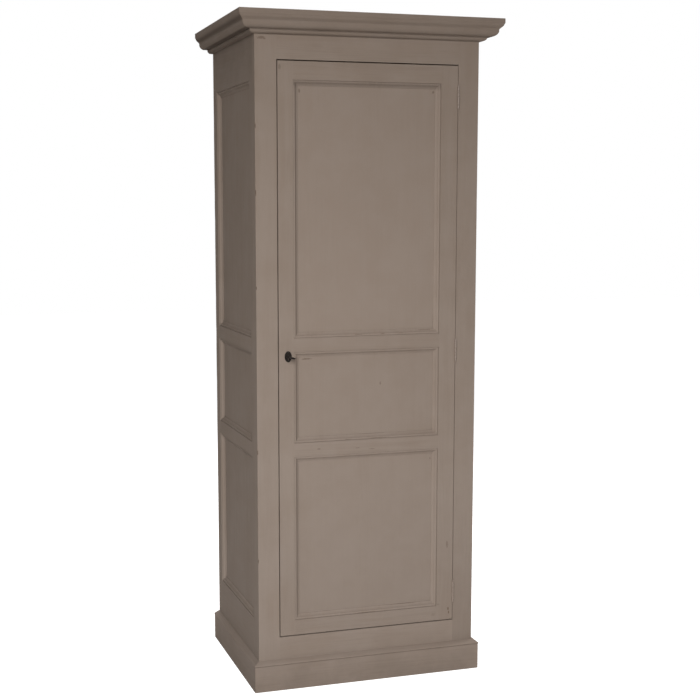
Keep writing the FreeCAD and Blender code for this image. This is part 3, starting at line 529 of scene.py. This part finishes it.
def make_waxed(name, along, board=0.0):
    """Plain softwood, waxed: growth rings drawn out along the board, and fine fibres.

    board is how wide the upright boards are that each have a figure of their own, if any."""
    material = bpy.data.materials.new(name)
    material.use_nodes = True
    wires = Wires(material.node_tree)
    surface = material.node_tree.nodes["Principled BSDF"]
    position = wires.node("TexCoord").outputs["Object"]
    place = position
    if board:
        sideways = wires.node("SeparateXYZ", Vector=position).outputs["X"]
        from_first = wires.math("ADD", sideways, 0.5 * board)
        order = wires.math("FLOOR", wires.math("DIVIDE", from_first, board))
        shift = wires.node("CombineXYZ", X=order, Z=wires.math("MULTIPLY", order, FIGURE_APART))
        place = wires.vector("ADD", position, shift.outputs["Vector"])
    drawn_out = [1.0, 1.0, 1.0]
    drawn_out[along] = FIGURE_STRETCH
    grain = wires.vector("MULTIPLY", place, drawn_out)
    swell = wires.noise(grain, 4.5, 1.0, 0.4)
    bands = wires.math("PINGPONG", wires.math("MULTIPLY", swell, FIGURE_RINGS), 1.0)
    fibres_out = [1.0, 1.0, 1.0]
    fibres_out[along] = FIBRE_STRETCH
    fibres = wires.noise(wires.vector("MULTIPLY", place, fibres_out), 420.0, 3.0, 0.6)
    colour = wires.mix(wires.span(bands, 0.35, 1.0, 0.0, 0.75), WAXED_EARLY, WAXED_LATE)
    colour = wires.mix(wires.span(fibres, 0.3, 0.75, 0.0, 0.35), colour, WAXED_LATE)
    cloudy = wires.noise(place, 2.3, 3.0)
    colour = wires.mix(wires.span(cloudy, 0.35, 0.65, 0.0, 0.45), colour, WAXED_OLD)
    # painted shade and dust in the corners
    corner_dirt_and_shade = wires.group(grime_and_shade, Position=position, Reach=WAXED_CORNER_SHADE_REACH)
    colour = wires.mix(wires.math("MULTIPLY", corner_dirt_and_shade.outputs["Dirty"], 0.5), colour, DIRT_AND_SHADE)
    wires.feed(surface.inputs["Base Color"], colour)
    wires.feed(surface.inputs["Roughness"], wires.span(fibres, 0.2, 0.8, 0.42, 0.6))
    height = wires.math("ADD", fibres, wires.math("MULTIPLY", bands, 0.4))
    bump = wires.node("Bump", Height=height, Strength=0.5, Distance=0.12 * MM)
    wires.feed(surface.inputs["Normal"], bump.outputs["Normal"])
    return material


WAXED_EARLY = (0.480, 0.310, 0.165)
WAXED_LATE = (0.300, 0.160, 0.070)
WAXED_OLD = (0.330, 0.190, 0.095)
FIGURE_STRETCH = 0.06
FIGURE_RINGS = 46.0                         # half rings over the whole swell of the figure
FIGURE_APART = 7.3                          # sets the figure of one board off from the next one's
FIBRE_STRETCH = 0.02
WAXED_CORNER_SHADE_REACH = 14 * MM                 # painted shade and dust reach further out of a corner on waxed wood than on paint

paint_up = painted("paint_upright", UP, 0.02, FRAME_MARKS)
# the right stile is darker towards its foot
paint_up_right = painted("paint_upright_right", UP, 0.02, FRAME_MARKS,
                         dark_bands=[(100, 500, 0.2)])
paint_across = painted("paint_level", ACROSS, grain=0.08)
waxed_up = make_waxed("waxed_upright", UP)
waxed_across = make_waxed("waxed_level", ACROSS)
FACE_SLACK = 0.5 * MM


def behind_face(middle, normal):
    """Whether a face of the face frame is its bare back."""
    return normal.y > 0.5 and middle.y > FACE_BACK - FACE_SLACK


WORN_ARRIS = 1.0 * MM
FRONT_ARRIS = 0.9 * MM
CRISP_ARRIS = 0.5 * MM
eased("face_stile_left", [paint_up, waxed_up], WORN_ARRIS, behind_face)
eased("face_stile_right", [paint_up_right, waxed_up], CRISP_ARRIS, behind_face)
for node in ("face_rail_top", "face_rail_bottom"):
    eased(node, [paint_across, waxed_across], FRONT_ARRIS, behind_face)

# ---------------------------------------------------------------- side frames
# Each side is a frame of two stiles and four rails, tongued and grooved round three loose
# panels. Outside it is painted like the front; inside the wood is waxed.

# painted shade under the cornice and on what faces up; the sides darken towards the foot
SIDE_TOP_SHADE = 0.18
SIDE_UPWARD_SHADE = 0.14
SIDE_FOOT_BAND = [(150, 300, 0.07)]
paint_deep = painted("paint_side_rails", DEEP, upward_shade=SIDE_UPWARD_SHADE, top_shade=SIDE_TOP_SHADE,
                     dark_bands=SIDE_FOOT_BAND)
paint_side = painted("paint_side_uprights", UP, 0.15, upward_shade=SIDE_UPWARD_SHADE, top_shade=SIDE_TOP_SHADE,
                     dark_bands=SIDE_FOOT_BAND)
waxed_deep = make_waxed("waxed_deep", DEEP)
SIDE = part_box("face_stile_right")[1].x
PANEL_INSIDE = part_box("right_panel_top")[0].x
EDGE_SLACK = 0.2 * MM
LEVELS = ("bottom", "middle", "top")
SIDE_RAILS = ("rail_bottom", "rail_lower", "rail_upper", "rail_top")
SIDE_ARRIS = 1.4 * MM
PANEL_ARRIS = 0.6 * MM


def inside_carcase(middle, normal):
    """Whether a face of a side frame looks into the cupboard, or is an edge behind its panels."""
    return normal.x * middle.x < -0.1 * SIDE or abs(middle.x) < PANEL_INSIDE - EDGE_SLACK


for hand in ("left", "right"):
    for part in ("stile_front", "stile_rear"):
        eased("%s_%s" % (hand, part), [paint_side, waxed_up], SIDE_ARRIS, inside_carcase)
    for part in SIDE_RAILS:
        eased("%s_%s" % (hand, part), [paint_deep, waxed_deep], WORN_ARRIS, inside_carcase)
    for level in LEVELS:
        eased("%s_panel_%s" % (hand, level), [paint_side, waxed_up], PANEL_ARRIS, inside_carcase)

# ---------------------------------------------------------------- panel mouldings
# Mitred strips planted round every panel: a bead beside the frame, then a slow cove that runs
# out on the panel. Several coats of paint have softened the profile.

MOULDING_WIDTH = 16 * MM
MOULDING_EDGE = 1.2 * MM
COVE_RADIUS = 14 * MM
BEAD_WIDTH = 7.5 * MM
BEAD_FOOT = 6.6 * MM
BEAD_RADIUS = 5 * MM
QUIRK_FOOT = 9.1 * MM
RUN_STEP = 30 * MM
RUN_WAVES = 9                               # per metre: how often a planed run is a little hollow
BLUNT = math.radians(150)
TOUCHING = 1e-6                             # a corner this near the body stays sharp
SHARP_EDGE = math.radians(48)
CORNER_SHARE = 0.45                         # the most of a side that a softened corner takes
MOULDING_SOFTNESS = 0.7 * MM
MOULDING_WANDER = 0.12 * MM                 # how far the planed face wanders


def arc(start, end, radius, steps=7):
    """Points of the short arc from start to end that bulges to the right of the way."""
    start, end = Vector(start), Vector(end)
    chord = end - start
    rise = math.sqrt(max(radius ** 2 - chord.length_squared / 4, 0))
    right = Vector((chord.y, -chord.x)).normalized()
    centre = (start + end) / 2 - right * rise
    first = (start - centre).to_3d()
    turn = -first.angle((end - centre).to_3d())
    if first.cross((end - centre).to_3d()).z > 0:
        turn = -turn
    spin = [Matrix.Rotation(turn * step / steps, 2) for step in range(steps + 1)]
    return [tuple(centre + part @ first.to_2d()) for part in spin]


def hollow(start, end, radius):
    """Points of the short arc from start to end that bulges to the left of the way."""
    return arc(end, start, radius)[::-1]


def soften(outline, radius):
    """Round each sharp corner of a closed outline a little, as thick paint does."""
    softened = []
    count = len(outline)
    for i, corner in enumerate(outline):
        corner = Vector(corner)
        back = Vector(outline[i - 1]) - corner
        ahead = Vector(outline[(i + 1) % count]) - corner
        if back.angle(ahead) > BLUNT or min(corner) < TOUCHING:
            softened.append(tuple(corner))
            continue
        reach = min(radius, back.length * CORNER_SHARE, ahead.length * CORNER_SHARE)
        start, end = corner + back.normalized() * reach, corner + ahead.normalized() * reach
        softened += [tuple(start), tuple((start + end + corner * 2) / 4), tuple(end)]
    return softened


def run(outline, origin, out, along, up, length, mitres, wander):
    """Vertices and faces of one moulding run: its outline carried along, with its ends mitred.

    mitres are the shares by which the start and end recede per unit of the outline's reach."""
    steps = max(2, round(length / RUN_STEP))
    rings = []
    for step in range(steps + 1):
        ring = []
        for reach, height in outline:
            start, end = reach * mitres[0], length - reach * mitres[1]
            point = origin + out * reach + up * height + along * (start + (end - start) * step / steps)
            dip = (noise.noise(point * RUN_WAVES) - 1) / 2 * wander
            ring.append(point + (out * min(reach / wander, 1) + up * min(height / wander, 1)) * dip)
        rings.append(ring)
    points = [point for ring in rings for point in ring]
    count = len(outline)
    faces = [tuple(range(count))[::-1], tuple(range(steps * count, (steps + 1) * count))]
    for step in range(steps):
        for i in range(count):
            a, b = step * count + i, step * count + (i + 1) % count
            faces.append((a, b, b + count, a + count))
    return points, faces


def mesh_of(name, runs):
    """One mesh of several closed runs, its faces turned outwards and its hard corners kept."""
    points = []
    faces = []
    for run_points, run_faces in runs:
        start = len(points)
        points += run_points
        faces += [tuple(start + i for i in face) for face in run_faces]
    mesh = bpy.data.meshes.new(name)
    mesh.from_pydata(points, [], faces)
    bm = bmesh.new()
    bm.from_mesh(mesh)
    bmesh.ops.recalc_face_normals(bm, faces=bm.faces)
    for edge in bm.edges:
        edge.smooth = edge.calc_face_angle(0) < SHARP_EDGE
    bm.to_mesh(mesh)
    bm.free()
    return mesh


moulding_outline = soften(
    [(0, 0), (MOULDING_WIDTH, 0)]
    + hollow((MOULDING_WIDTH, MOULDING_EDGE), (BEAD_WIDTH, BEAD_FOOT), COVE_RADIUS)
    + arc((BEAD_WIDTH, BEAD_FOOT), (0, QUIRK_FOOT), BEAD_RADIUS)[1:],
    MOULDING_SOFTNESS)


def panel_moulding(node, panels, surface, out, right, materials):
    """The four strips round each of some panels.

    panels are the openings, as pairs of opposite corners; surface is the panels' face."""
    up = Vector((0, 0, 1))
    runs = []
    for low, high in panels:
        left, far = Vector(low), Vector(high)
        left[DEEP if out.y else ACROSS] = surface
        width = (far - left).dot(right)
        height = far.z - left.z
        if width < 0:
            left += right * width
            width = -width
        for origin, inward, along, length in (
                (left, right, up, height),
                (left + right * width, -right, up, height),
                (left, up, right, width),
                (left + up * height, -up, right, width)):
            runs.append(run(moulding_outline, origin, inward, along, out, length, (1, 1),
                            MOULDING_WANDER))
    finish_mesh(mesh_of(node + "_run", runs), node, materials)


# painted shade on what faces up
side_moulding_paint = painted("paint_side_mouldings", UP, 0.05, upward_shade=SIDE_UPWARD_SHADE)
PANEL_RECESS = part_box("left_panel_top")[0].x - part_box("left_stile_front")[0].x
for hand, sign in (("left", -1), ("right", 1)):
    openings = []
    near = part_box(hand + "_stile_front")[1].y
    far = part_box(hand + "_stile_rear")[0].y
    for lower, upper in zip(SIDE_RAILS, SIDE_RAILS[1:]):
        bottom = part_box("%s_%s" % (hand, lower))[1].z
        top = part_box("%s_%s" % (hand, upper))[0].z
        openings.append(((sign * SIDE, near, bottom), (sign * SIDE, far, top)))
    panel_moulding(hand + "_mouldings", openings, sign * (SIDE - PANEL_RECESS),
                   Vector((sign, 0, 0)), Vector((0, sign, 0)), [side_moulding_paint])

# ---------------------------------------------------------------- back, top, floor and shelves
# Plain boards inside: five tongued back boards in the rear stiles' rebates, a top, a floor and
# three shelves on battens, all of the same waxed softwood.

BACK_BOARDS = 5
back_low, back_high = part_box("back_boards")
waxed_back = make_waxed("waxed_back", UP, (back_high.x - back_low.x) / BACK_BOARDS)
for node, material in (("back_boards", waxed_back), ("top_board", waxed_across),
                       ("floor_board", waxed_across), ("shelf_lower", waxed_across),
                       ("shelf_middle", waxed_across), ("shelf_upper", waxed_across),
                       ("shelf_battens", waxed_deep)):
    eased(node, [material], WORN_ARRIS)

# ---------------------------------------------------------------- cornice
# A softwood crown moulding in three lengths, nailed to the body and mitred at the two front
# corners: a flat fascia over two quarter rounds and a bead against the body.

CORNICE_REACH = 58 * MM
CORNICE_TALL = 62 * MM
FASCIA = 15.5 * MM
FASCIA_ROUND = 12 * MM
FASCIA_SETBACK = 1.5 * MM
SECOND_REACH = 44.5 * MM
SECOND_FOOT = 12 * MM
SECOND_ROUND = 13 * MM
LOW_REACH = 18 * MM
LOW_ROUND = 10 * MM
LOW_TALL = 7 * MM
FLATTER = 1.35                              # the rounds are a little flatter than quarter circles
HIGH_COVE = 6.5 * MM                        # hollows between the members
LOW_COVE = 2.5 * MM
CORNICE_SOFTNESS = 1.2 * MM
PLANTED_WANDER = 0.2 * MM

fascia_foot = CORNICE_TALL - FASCIA
round_foot = fascia_foot - FASCIA_ROUND
# the round under the fascia starts inside the hollow below it, so its first points are left out
cornice_outline = soften(
    [(0, 0)]
    + arc((LOW_REACH - LOW_ROUND, 0), (LOW_REACH, LOW_TALL), LOW_ROUND * FLATTER)
    + hollow((LOW_REACH, SECOND_FOOT - LOW_COVE), (LOW_REACH + LOW_COVE, SECOND_FOOT), LOW_COVE)
    + arc((SECOND_REACH - SECOND_ROUND, SECOND_FOOT),
          (SECOND_REACH, SECOND_FOOT + SECOND_ROUND), SECOND_ROUND * FLATTER)
    + hollow((SECOND_REACH, round_foot - HIGH_COVE), (SECOND_REACH + HIGH_COVE / 2, round_foot),
             HIGH_COVE)
    + arc((CORNICE_REACH - FASCIA_ROUND, round_foot), (CORNICE_REACH - FASCIA_SETBACK, fascia_foot),
          FASCIA_ROUND * FLATTER)[3:]
    + [(CORNICE_REACH, fascia_foot + FASCIA_SETBACK), (CORNICE_REACH, CORNICE_TALL),
       (0, CORNICE_TALL)],
    CORNICE_SOFTNESS)
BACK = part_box("left_stile_rear")[1].y


def planted_round(kind, outline, bottom, materials):
    """A moulding round the front and both sides of the body, mitred at the front corners."""
    up = Vector((0, 0, 1))
    depth = BACK - FRONT
    lengths = {
        "front": (Vector((-SIDE, FRONT, bottom)), Vector((0, -1, 0)), Vector((1, 0, 0)),
                  SIDE * 2, (-1, -1)),
        "left": (Vector((-SIDE, FRONT, bottom)), Vector((-1, 0, 0)), Vector((0, 1, 0)),
                 depth, (-1, 0)),
        "right": (Vector((SIDE, FRONT, bottom)), Vector((1, 0, 0)), Vector((0, 1, 0)),
                  depth, (-1, 0)),
    }
    for where, (origin, out, along, length, mitres) in lengths.items():
        node = "%s_%s" % (kind, where)
        strip = run(outline, origin, out, along, up, length, mitres, PLANTED_WANDER)
        finish_mesh(mesh_of(node + "_run", [strip]), node, [materials[where]])


RETURN_HOLLOW_SHADE = [(1975, 11, 0.7), (1949, 3.2, 0.9), (1941, 7, 0.3)]   # painted shade in its hollows and at its foot
# both cornice paints are darkened all over as painted shade at the cupboard's top
cornice_return_paint = painted("paint_cornice_returns", DEEP, soil_and_shade=0.13, dark_bands=RETURN_HOLLOW_SHADE)
cornice_paint = {"front": painted("paint_cornice", ACROSS, soil_and_shade=0.125),
                 "left": cornice_return_paint, "right": cornice_return_paint}
planted_round("cornice", cornice_outline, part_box("cornice_front")[0].z, cornice_paint)

# ---------------------------------------------------------------- plinth
# A softwood board in three lengths, nailed round the foot and mitred at the two front corners,
# under a cap with a blunt nose and a slowly rounded top. Its paint is paler, with painted light
# on the cap's upward faces and painted shade under its nose.

PLINTH_REACH = 16.5 * MM
PLINTH_TALL = 92 * MM
CAP_TALL = 13 * MM
CAP_LIP = 2 * MM
CAP_NOSE = 1.5 * MM
CAP_ROUND = 80 * MM
CAP_SOFTNESS = 0.8 * MM

plinth_face_top = PLINTH_TALL - CAP_TALL
nose_reach = PLINTH_REACH + CAP_LIP
plinth_outline = soften(
    [(0, 0), (PLINTH_REACH, 0), (PLINTH_REACH, plinth_face_top),
     (nose_reach, plinth_face_top + CAP_LIP)]
    + arc((nose_reach, plinth_face_top + CAP_LIP + CAP_NOSE), (0, PLINTH_TALL), CAP_ROUND),
    CAP_SOFTNESS)
CAP_UNDER_SHADE = [(79.5, 3.5, 0.4)]               # painted shade along the cap's underside
plinth_return_paint = painted("paint_plinth_returns", DEEP, soil_and_shade=-0.1)
# painted light on the cap's upward faces, a paler coat and painted shade under the nose
plinth_front_paint = painted("paint_plinth", ACROSS, grain=0.1, soil_and_shade=0.04, upward_shade=-0.2, lightening=0.45,
                             dark_bands=CAP_UNDER_SHADE)
plinth_paint = {"front": plinth_front_paint, "left": plinth_return_paint,
                "right": plinth_return_paint}
planted_round("plinth", plinth_outline, 0.0, plinth_paint)

# ---------------------------------------------------------------- door
# Two stiles and four rails with tongues, grooved round three loose panels; painted on both
# sides. Its panels take the same mouldings as the sides.

# chips at the hinge stile's foot, and a bruise at the lock stile's head
STILE_MARKS = [
    (267, 0, 197, 2.4, 7, 1), (269, 0, 186, 2.2, 6, 1),
    (-273, 0, 1847, 5, 10, 0.35), (-274, 0, 1850, 2.5, 5, 0.5),
]
# knocks on the rails and the hinge stile
KNOCKS = [
    (222, 2, 770, 4, 5, 0.45), (-157, 0, 731, 6, 3, 0.45), (261, 0, 405, 4, 14, 0.45),
    (216, 0, 183, 8, 5, 0.2), (233, 0, 214, 5, 3, 0.3),
]
LINE_HALF_HEIGHT = 1.3
LINE_BARE = 0.6
# along the rails' edges and the mouldings beside them
RUBBED_LINES = [
    (x, deep, z, half_width, LINE_HALF_HEIGHT, LINE_BARE) for x, deep, z, half_width in (
        (-32, 4, 1071, 16), (46, 4, 1071, 10), (104, 4, 1071, 14), (181, 9, 1078, 28),
        (12, 10, 768, 58), (38, 2, 755, 38), (-65, 2, 755, 14), (-34, 0, 727, 8),
        (12, 0, 722, 12), (-5, 2, 211, 46), (120, 10, 225, 60))
]
# knots, and a scrape beside the key
PANEL_MARKS = [
    (-211, 12, 1782, 4, 7, 0.6), (206, 12, 1787, 4, 5, 0.6), (42, 12, 920, 3, 6, 0.45),
    (-191, 12, 1002, 19, 2.2, 0.9), (-197, 12, 1010, 12, 1.8, 0.5), (206, 12, 679, 3, 4, 0.45),
]
# darker bands low on the door
STILE_LOW_BAND = [(250, 350, 0.08)]
RAIL_LOW_BAND = [(185, 70, 0.09)]
PANEL_LOW_BAND = [(250, 400, 0.06)]
TOP_MOULDING_SHADE = [(1803, 16, 0.33)]      # painted shade under the top rail
door_paint_up = painted("door_paint_upright", UP, 0.03, STILE_MARKS + KNOCKS,
                        dark_bands=STILE_LOW_BAND)
door_paint_across = painted("door_paint_level", ACROSS, 0.06, KNOCKS + RUBBED_LINES,
                            grain=0.07, dark_bands=RAIL_LOW_BAND)
# painted shade and dirt in the mouldings' seams
door_paint_mould = painted("door_paint_mouldings", UP, 0.06, RUBBED_LINES, seam_shade=0.4)
# a lighter copy of the mouldings' paint: painted light on the top moulding, and painted shade under the
# top rail
door_paint_mould_top_lit = painted("door_paint_moulding_top_lit", UP, 0.06, RUBBED_LINES, seam_shade=0.4,
                               lightening=0.6, dark_bands=TOP_MOULDING_SHADE)
door_paint_panel = painted("door_paint_panels", UP, 0.0, PANEL_MARKS, streaks=0.4, grain=0.02,
                           dark_bands=PANEL_LOW_BAND)
# a lighter copy of the panels' paint: painted light on the top panel
door_paint_panel_top = painted("door_paint_panel_top", UP, 0.0, PANEL_MARKS, streaks=0.4,
                               grain=0.02, lightening=0.35)
panel_paint = {"bottom": door_paint_panel, "middle": door_paint_panel,
               "top": door_paint_panel_top}
moulding_paint = {"bottom": door_paint_mould, "middle": door_paint_mould,
                  "top": door_paint_mould_top_lit}
DOOR_RAILS = ("door_rail_bottom", "door_rail_lower", "door_rail_upper", "door_rail_top")
eased("door_stile_lock", [door_paint_up], FRONT_ARRIS)
eased("door_stile_hinge", [door_paint_up], CRISP_ARRIS)
for node in DOOR_RAILS:
    eased(node, [door_paint_across], FRONT_ARRIS)
for level in LEVELS:
    eased("door_panel_" + level, [panel_paint[level]], PANEL_ARRIS)

door_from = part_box("door_stile_lock")[1].x
door_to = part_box("door_stile_hinge")[0].x
for level, lower, upper in zip(LEVELS, DOOR_RAILS, DOOR_RAILS[1:]):
    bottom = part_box(lower)[1].z
    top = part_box(upper)[0].z
    panel_moulding("door_moulding_" + level, [((door_from, FRONT, bottom), (door_to, FRONT, top))],
                   FRONT + PANEL_RECESS, Vector((0, -1, 0)), Vector((1, 0, 0)),
                   [moulding_paint[level]])

# ---------------------------------------------------------------- hinges and screws
# Three iron butt hinges let into the door's edge and the stile, painted over with the
# cupboard; the screws inside are dull steel.

IRON_PAINT = (0.300, 0.240, 0.200)
IRON_PAINT_THIN = (0.205, 0.152, 0.118)
STEEL = (0.33, 0.315, 0.29)
STEEL_DARK = (0.12, 0.105, 0.09)
STEEL_BRIGHT = (0.5, 0.48, 0.45)
HANDLED_REACH = 0.9 * MM                    # how far from an edge fingers keep the metal bright


def metal(name, base, dull, rub, metallic, roughness):
    """Old iron or steel: mottled, darker in the corners as painted shade, and brighter where it is
    handled.
    """
    material = bpy.data.materials.new(name)
    material.use_nodes = True
    wires = Wires(material.node_tree)
    surface = material.node_tree.nodes["Principled BSDF"]
    position = wires.node("TexCoord").outputs["Object"]
    mottle = wires.noise(position, 260.0, 4.0, 0.65)
    edges = wires.group(worn_edges, Position=position, Stretch=(1, 1, 1), Reach=HANDLED_REACH,
                        Wear=0.1, Exposed=1.0)
    corner_dirt_and_shade = wires.group(grime_and_shade, Position=position, Reach=CORNER_SHADE_REACH)
    colour = wires.mix(wires.span(mottle, 0.35, 0.68), base, dull)
    colour = wires.mix(edges.outputs["Rubbed"], colour, rub)
    # painted shade in the corners, mixed towards the dull colour
    colour = wires.mix(wires.math("MULTIPLY", corner_dirt_and_shade.outputs["Dirty"], 0.7), colour, dull)
    wires.feed(surface.inputs["Base Color"], colour)
    surface.inputs["Metallic"].default_value = metallic
    matt = wires.span(mottle, 0.3, 0.7, roughness - 0.08, roughness + 0.12)
    wires.feed(surface.inputs["Roughness"], matt)
    bump = wires.node("Bump", Height=mottle, Strength=0.4, Distance=0.06 * MM)
    wires.feed(surface.inputs["Normal"], bump.outputs["Normal"])
    return material


painted_iron = metal("painted_iron", IRON_PAINT, IRON_PAINT_THIN, IRON_PAINT, 0.0, 0.5)
dull_steel = metal("dull_steel", STEEL, STEEL_DARK, STEEL_BRIGHT, 1.0, 0.45)


def refit(node, material):
    """Keep a piece's own shape, with a new finish."""
    piece = frame["nodes"][node]
    piece.data.materials.clear()
    piece.data.materials.append(material)


for node in ("hinge_leaves_frame", "hinge_leaves_door", "hinge_pins"):
    refit(node, painted_iron)
for node in ("frame_screws", "door_screws"):
    refit(node, dull_steel)

# ---------------------------------------------------------------- lock, keeper and bolt
# A pressed steel rim lock screwed to the door's back, its bolt, and the keeper that the bolt
# enters on the frame.

for node in ("lock_case", "keeper", "lock_bolt"):
    refit(node, dull_steel)

# ---------------------------------------------------------------- escutcheon and key
# An oval plate of dark iron, pinned over the keyhole, and an old iron key that is left in the
# lock as the door's pull.

IRON = (0.030, 0.026, 0.023)
IRON_DULL = (0.020, 0.014, 0.011)
IRON_BRIGHT = (0.16, 0.145, 0.13)
dark_iron = metal("dark_iron", IRON, IRON_DULL, IRON_BRIGHT, 0.85, 0.42)
for node in ("escutcheon", "escutcheon_pins", "key"):
    refit(node, dark_iron)

# ---------------------------------------------------------------- floor, light and camera
# A pale floor that runs out of view, one large soft lamp at the front left, two weaker ones for
# the right side and the back, and a white surround.

FLOOR_HALF = 14.0
FLOOR_DROP = 0.2 * MM                       # keeps it clear of the cupboard's foot
FLOOR_GLOW = 0.93                           # lifts it to white for the camera alone
FLOOR_COLOUR = (0.8, 0.8, 0.8)
WHITE = (1.0, 1.0, 1.0)
floor_mesh = bpy.data.meshes.new("floor")
floor_corners = [(x * FLOOR_HALF, y * FLOOR_HALF, 0) for x, y in ((-1, -1), (1, -1), (1, 1), (-1, 1))]
floor_mesh.from_pydata(floor_corners, [], [(0, 1, 2, 3)])
floor = bpy.data.objects.new("floor", floor_mesh)
bpy.context.scene.collection.objects.link(floor)
floor.location.z = -FLOOR_DROP
floor_material = bpy.data.materials.new("floor_pale")
floor_material.use_nodes = True
floor_wires = Wires(floor_material.node_tree)
floor_tree = floor_material.node_tree
floor_surface = floor_tree.nodes["Principled BSDF"]
floor_wires.feed(floor_surface.inputs["Base Color"], FLOOR_COLOUR)
floor_surface.inputs["Roughness"].default_value = 0.9
floor_surface.inputs["Specular IOR Level"].default_value = 0.0
seen = floor_wires.node("LightPath").outputs["Is Camera Ray"]
glow = floor_wires.node("Emission", Color=WHITE, Strength=FLOOR_GLOW)
both = floor_wires.node("AddShader")
floor_wires.feed(both.inputs[0], floor_surface.outputs["BSDF"])
floor_wires.feed(both.inputs[1], glow.outputs["Emission"])
choice = floor_wires.node("MixShader", Fac=seen)
floor_wires.feed(choice.inputs[1], floor_surface.outputs["BSDF"])
floor_wires.feed(choice.inputs[2], both.outputs["Shader"])
floor_wires.feed(floor_tree.nodes["Material Output"].inputs["Surface"], choice.outputs["Shader"])
floor_mesh.materials.append(floor_material)

AMBIENT = 0.112                             # what the surround lends the object
world = bpy.data.worlds.new("surround")
bpy.context.scene.world = world
world.use_nodes = True
world_wires = Wires(world.node_tree)
rays = world_wires.node("LightPath").outputs
mirrored = world_wires.math("MAXIMUM", rays["Is Glossy Ray"], rays["Is Transmission Ray"])
shown = world_wires.math("MAXIMUM", rays["Is Camera Ray"], mirrored)
strength = world_wires.math("ADD", AMBIENT, world_wires.math("MULTIPLY", shown, 1.0 - AMBIENT))
backdrop = world.node_tree.nodes["Background"]
world_wires.feed(backdrop.inputs["Color"], WHITE)
world_wires.feed(backdrop.inputs["Strength"], strength)

LAMP_SIZE = 2.15
LAMP_DISTANCE = 5.0
LAMP_HEIGHT = 2.35
AIM_HEIGHT = 0.05
LAMP_SPREAD = math.radians(78)              # a grid in front of each softbox
# each lamp's name, azimuth and watts
LAMPS = (("key_lamp", -23.5, 44.5), ("right_lamp", 105, 31), ("back_lamp", 170, 31))


def softbox(name, azimuth, watts):
    """A square lamp at an azimuth round the cupboard: 0 is in front, 90 to its right."""
    lamp = bpy.data.lights.new(name, "AREA")
    lamp.shape = "SQUARE"
    lamp.size = LAMP_SIZE
    lamp.energy = watts
    lamp.spread = LAMP_SPREAD
    holder = bpy.data.objects.new(name, lamp)
    bpy.context.scene.collection.objects.link(holder)
    turn = math.radians(azimuth)
    holder.location = (math.sin(turn) * LAMP_DISTANCE, -math.cos(turn) * LAMP_DISTANCE, LAMP_HEIGHT)
    aim = Vector((0, 0, AIM_HEIGHT)) - holder.location
    holder.rotation_euler = aim.to_track_quat("-Z", "Y").to_euler()


for name, azimuth, watts in LAMPS:
    softbox(name, azimuth, watts)

CAMERA_PLACE = Vector((-1.2932, -3.8315, 1.4478))
CAMERA_YAW = 0.295871
CAMERA_PITCH = 0.125301
CAMERA_ROLL = -0.0030605
FOCAL_PIXELS = 1281.512
PICTURE = 700                               # pixels across and down
CENTRE_COLUMN = 306.0835                    # where the lens's axis meets the picture
CENTRE_ROW = 368.8688
SENSOR = 36.0

forward = Vector((math.sin(CAMERA_YAW) * math.cos(CAMERA_PITCH),
                  math.cos(CAMERA_YAW) * math.cos(CAMERA_PITCH), -math.sin(CAMERA_PITCH)))
level_right = Vector((math.cos(CAMERA_YAW), -math.sin(CAMERA_YAW), 0))
level_up = level_right.cross(forward)
camera_right = math.cos(CAMERA_ROLL) * level_right + math.sin(CAMERA_ROLL) * level_up
camera_up = math.cos(CAMERA_ROLL) * level_up - math.sin(CAMERA_ROLL) * level_right
camera_data = bpy.data.cameras.new("camera")
camera_data.sensor_width = SENSOR
camera_data.lens = FOCAL_PIXELS * SENSOR / PICTURE
camera_data.shift_x = (PICTURE / 2 - CENTRE_COLUMN) / PICTURE
camera_data.shift_y = (CENTRE_ROW - PICTURE / 2) / PICTURE
camera = bpy.data.objects.new("camera", camera_data)
bpy.context.scene.collection.objects.link(camera)
turned = Matrix((camera_right, camera_up, -forward)).transposed().to_4x4()
turned.translation = CAMERA_PLACE
camera.matrix_world = turned
bpy.context.scene.camera = camera
bpy.context.scene.view_settings.view_transform = "Standard"
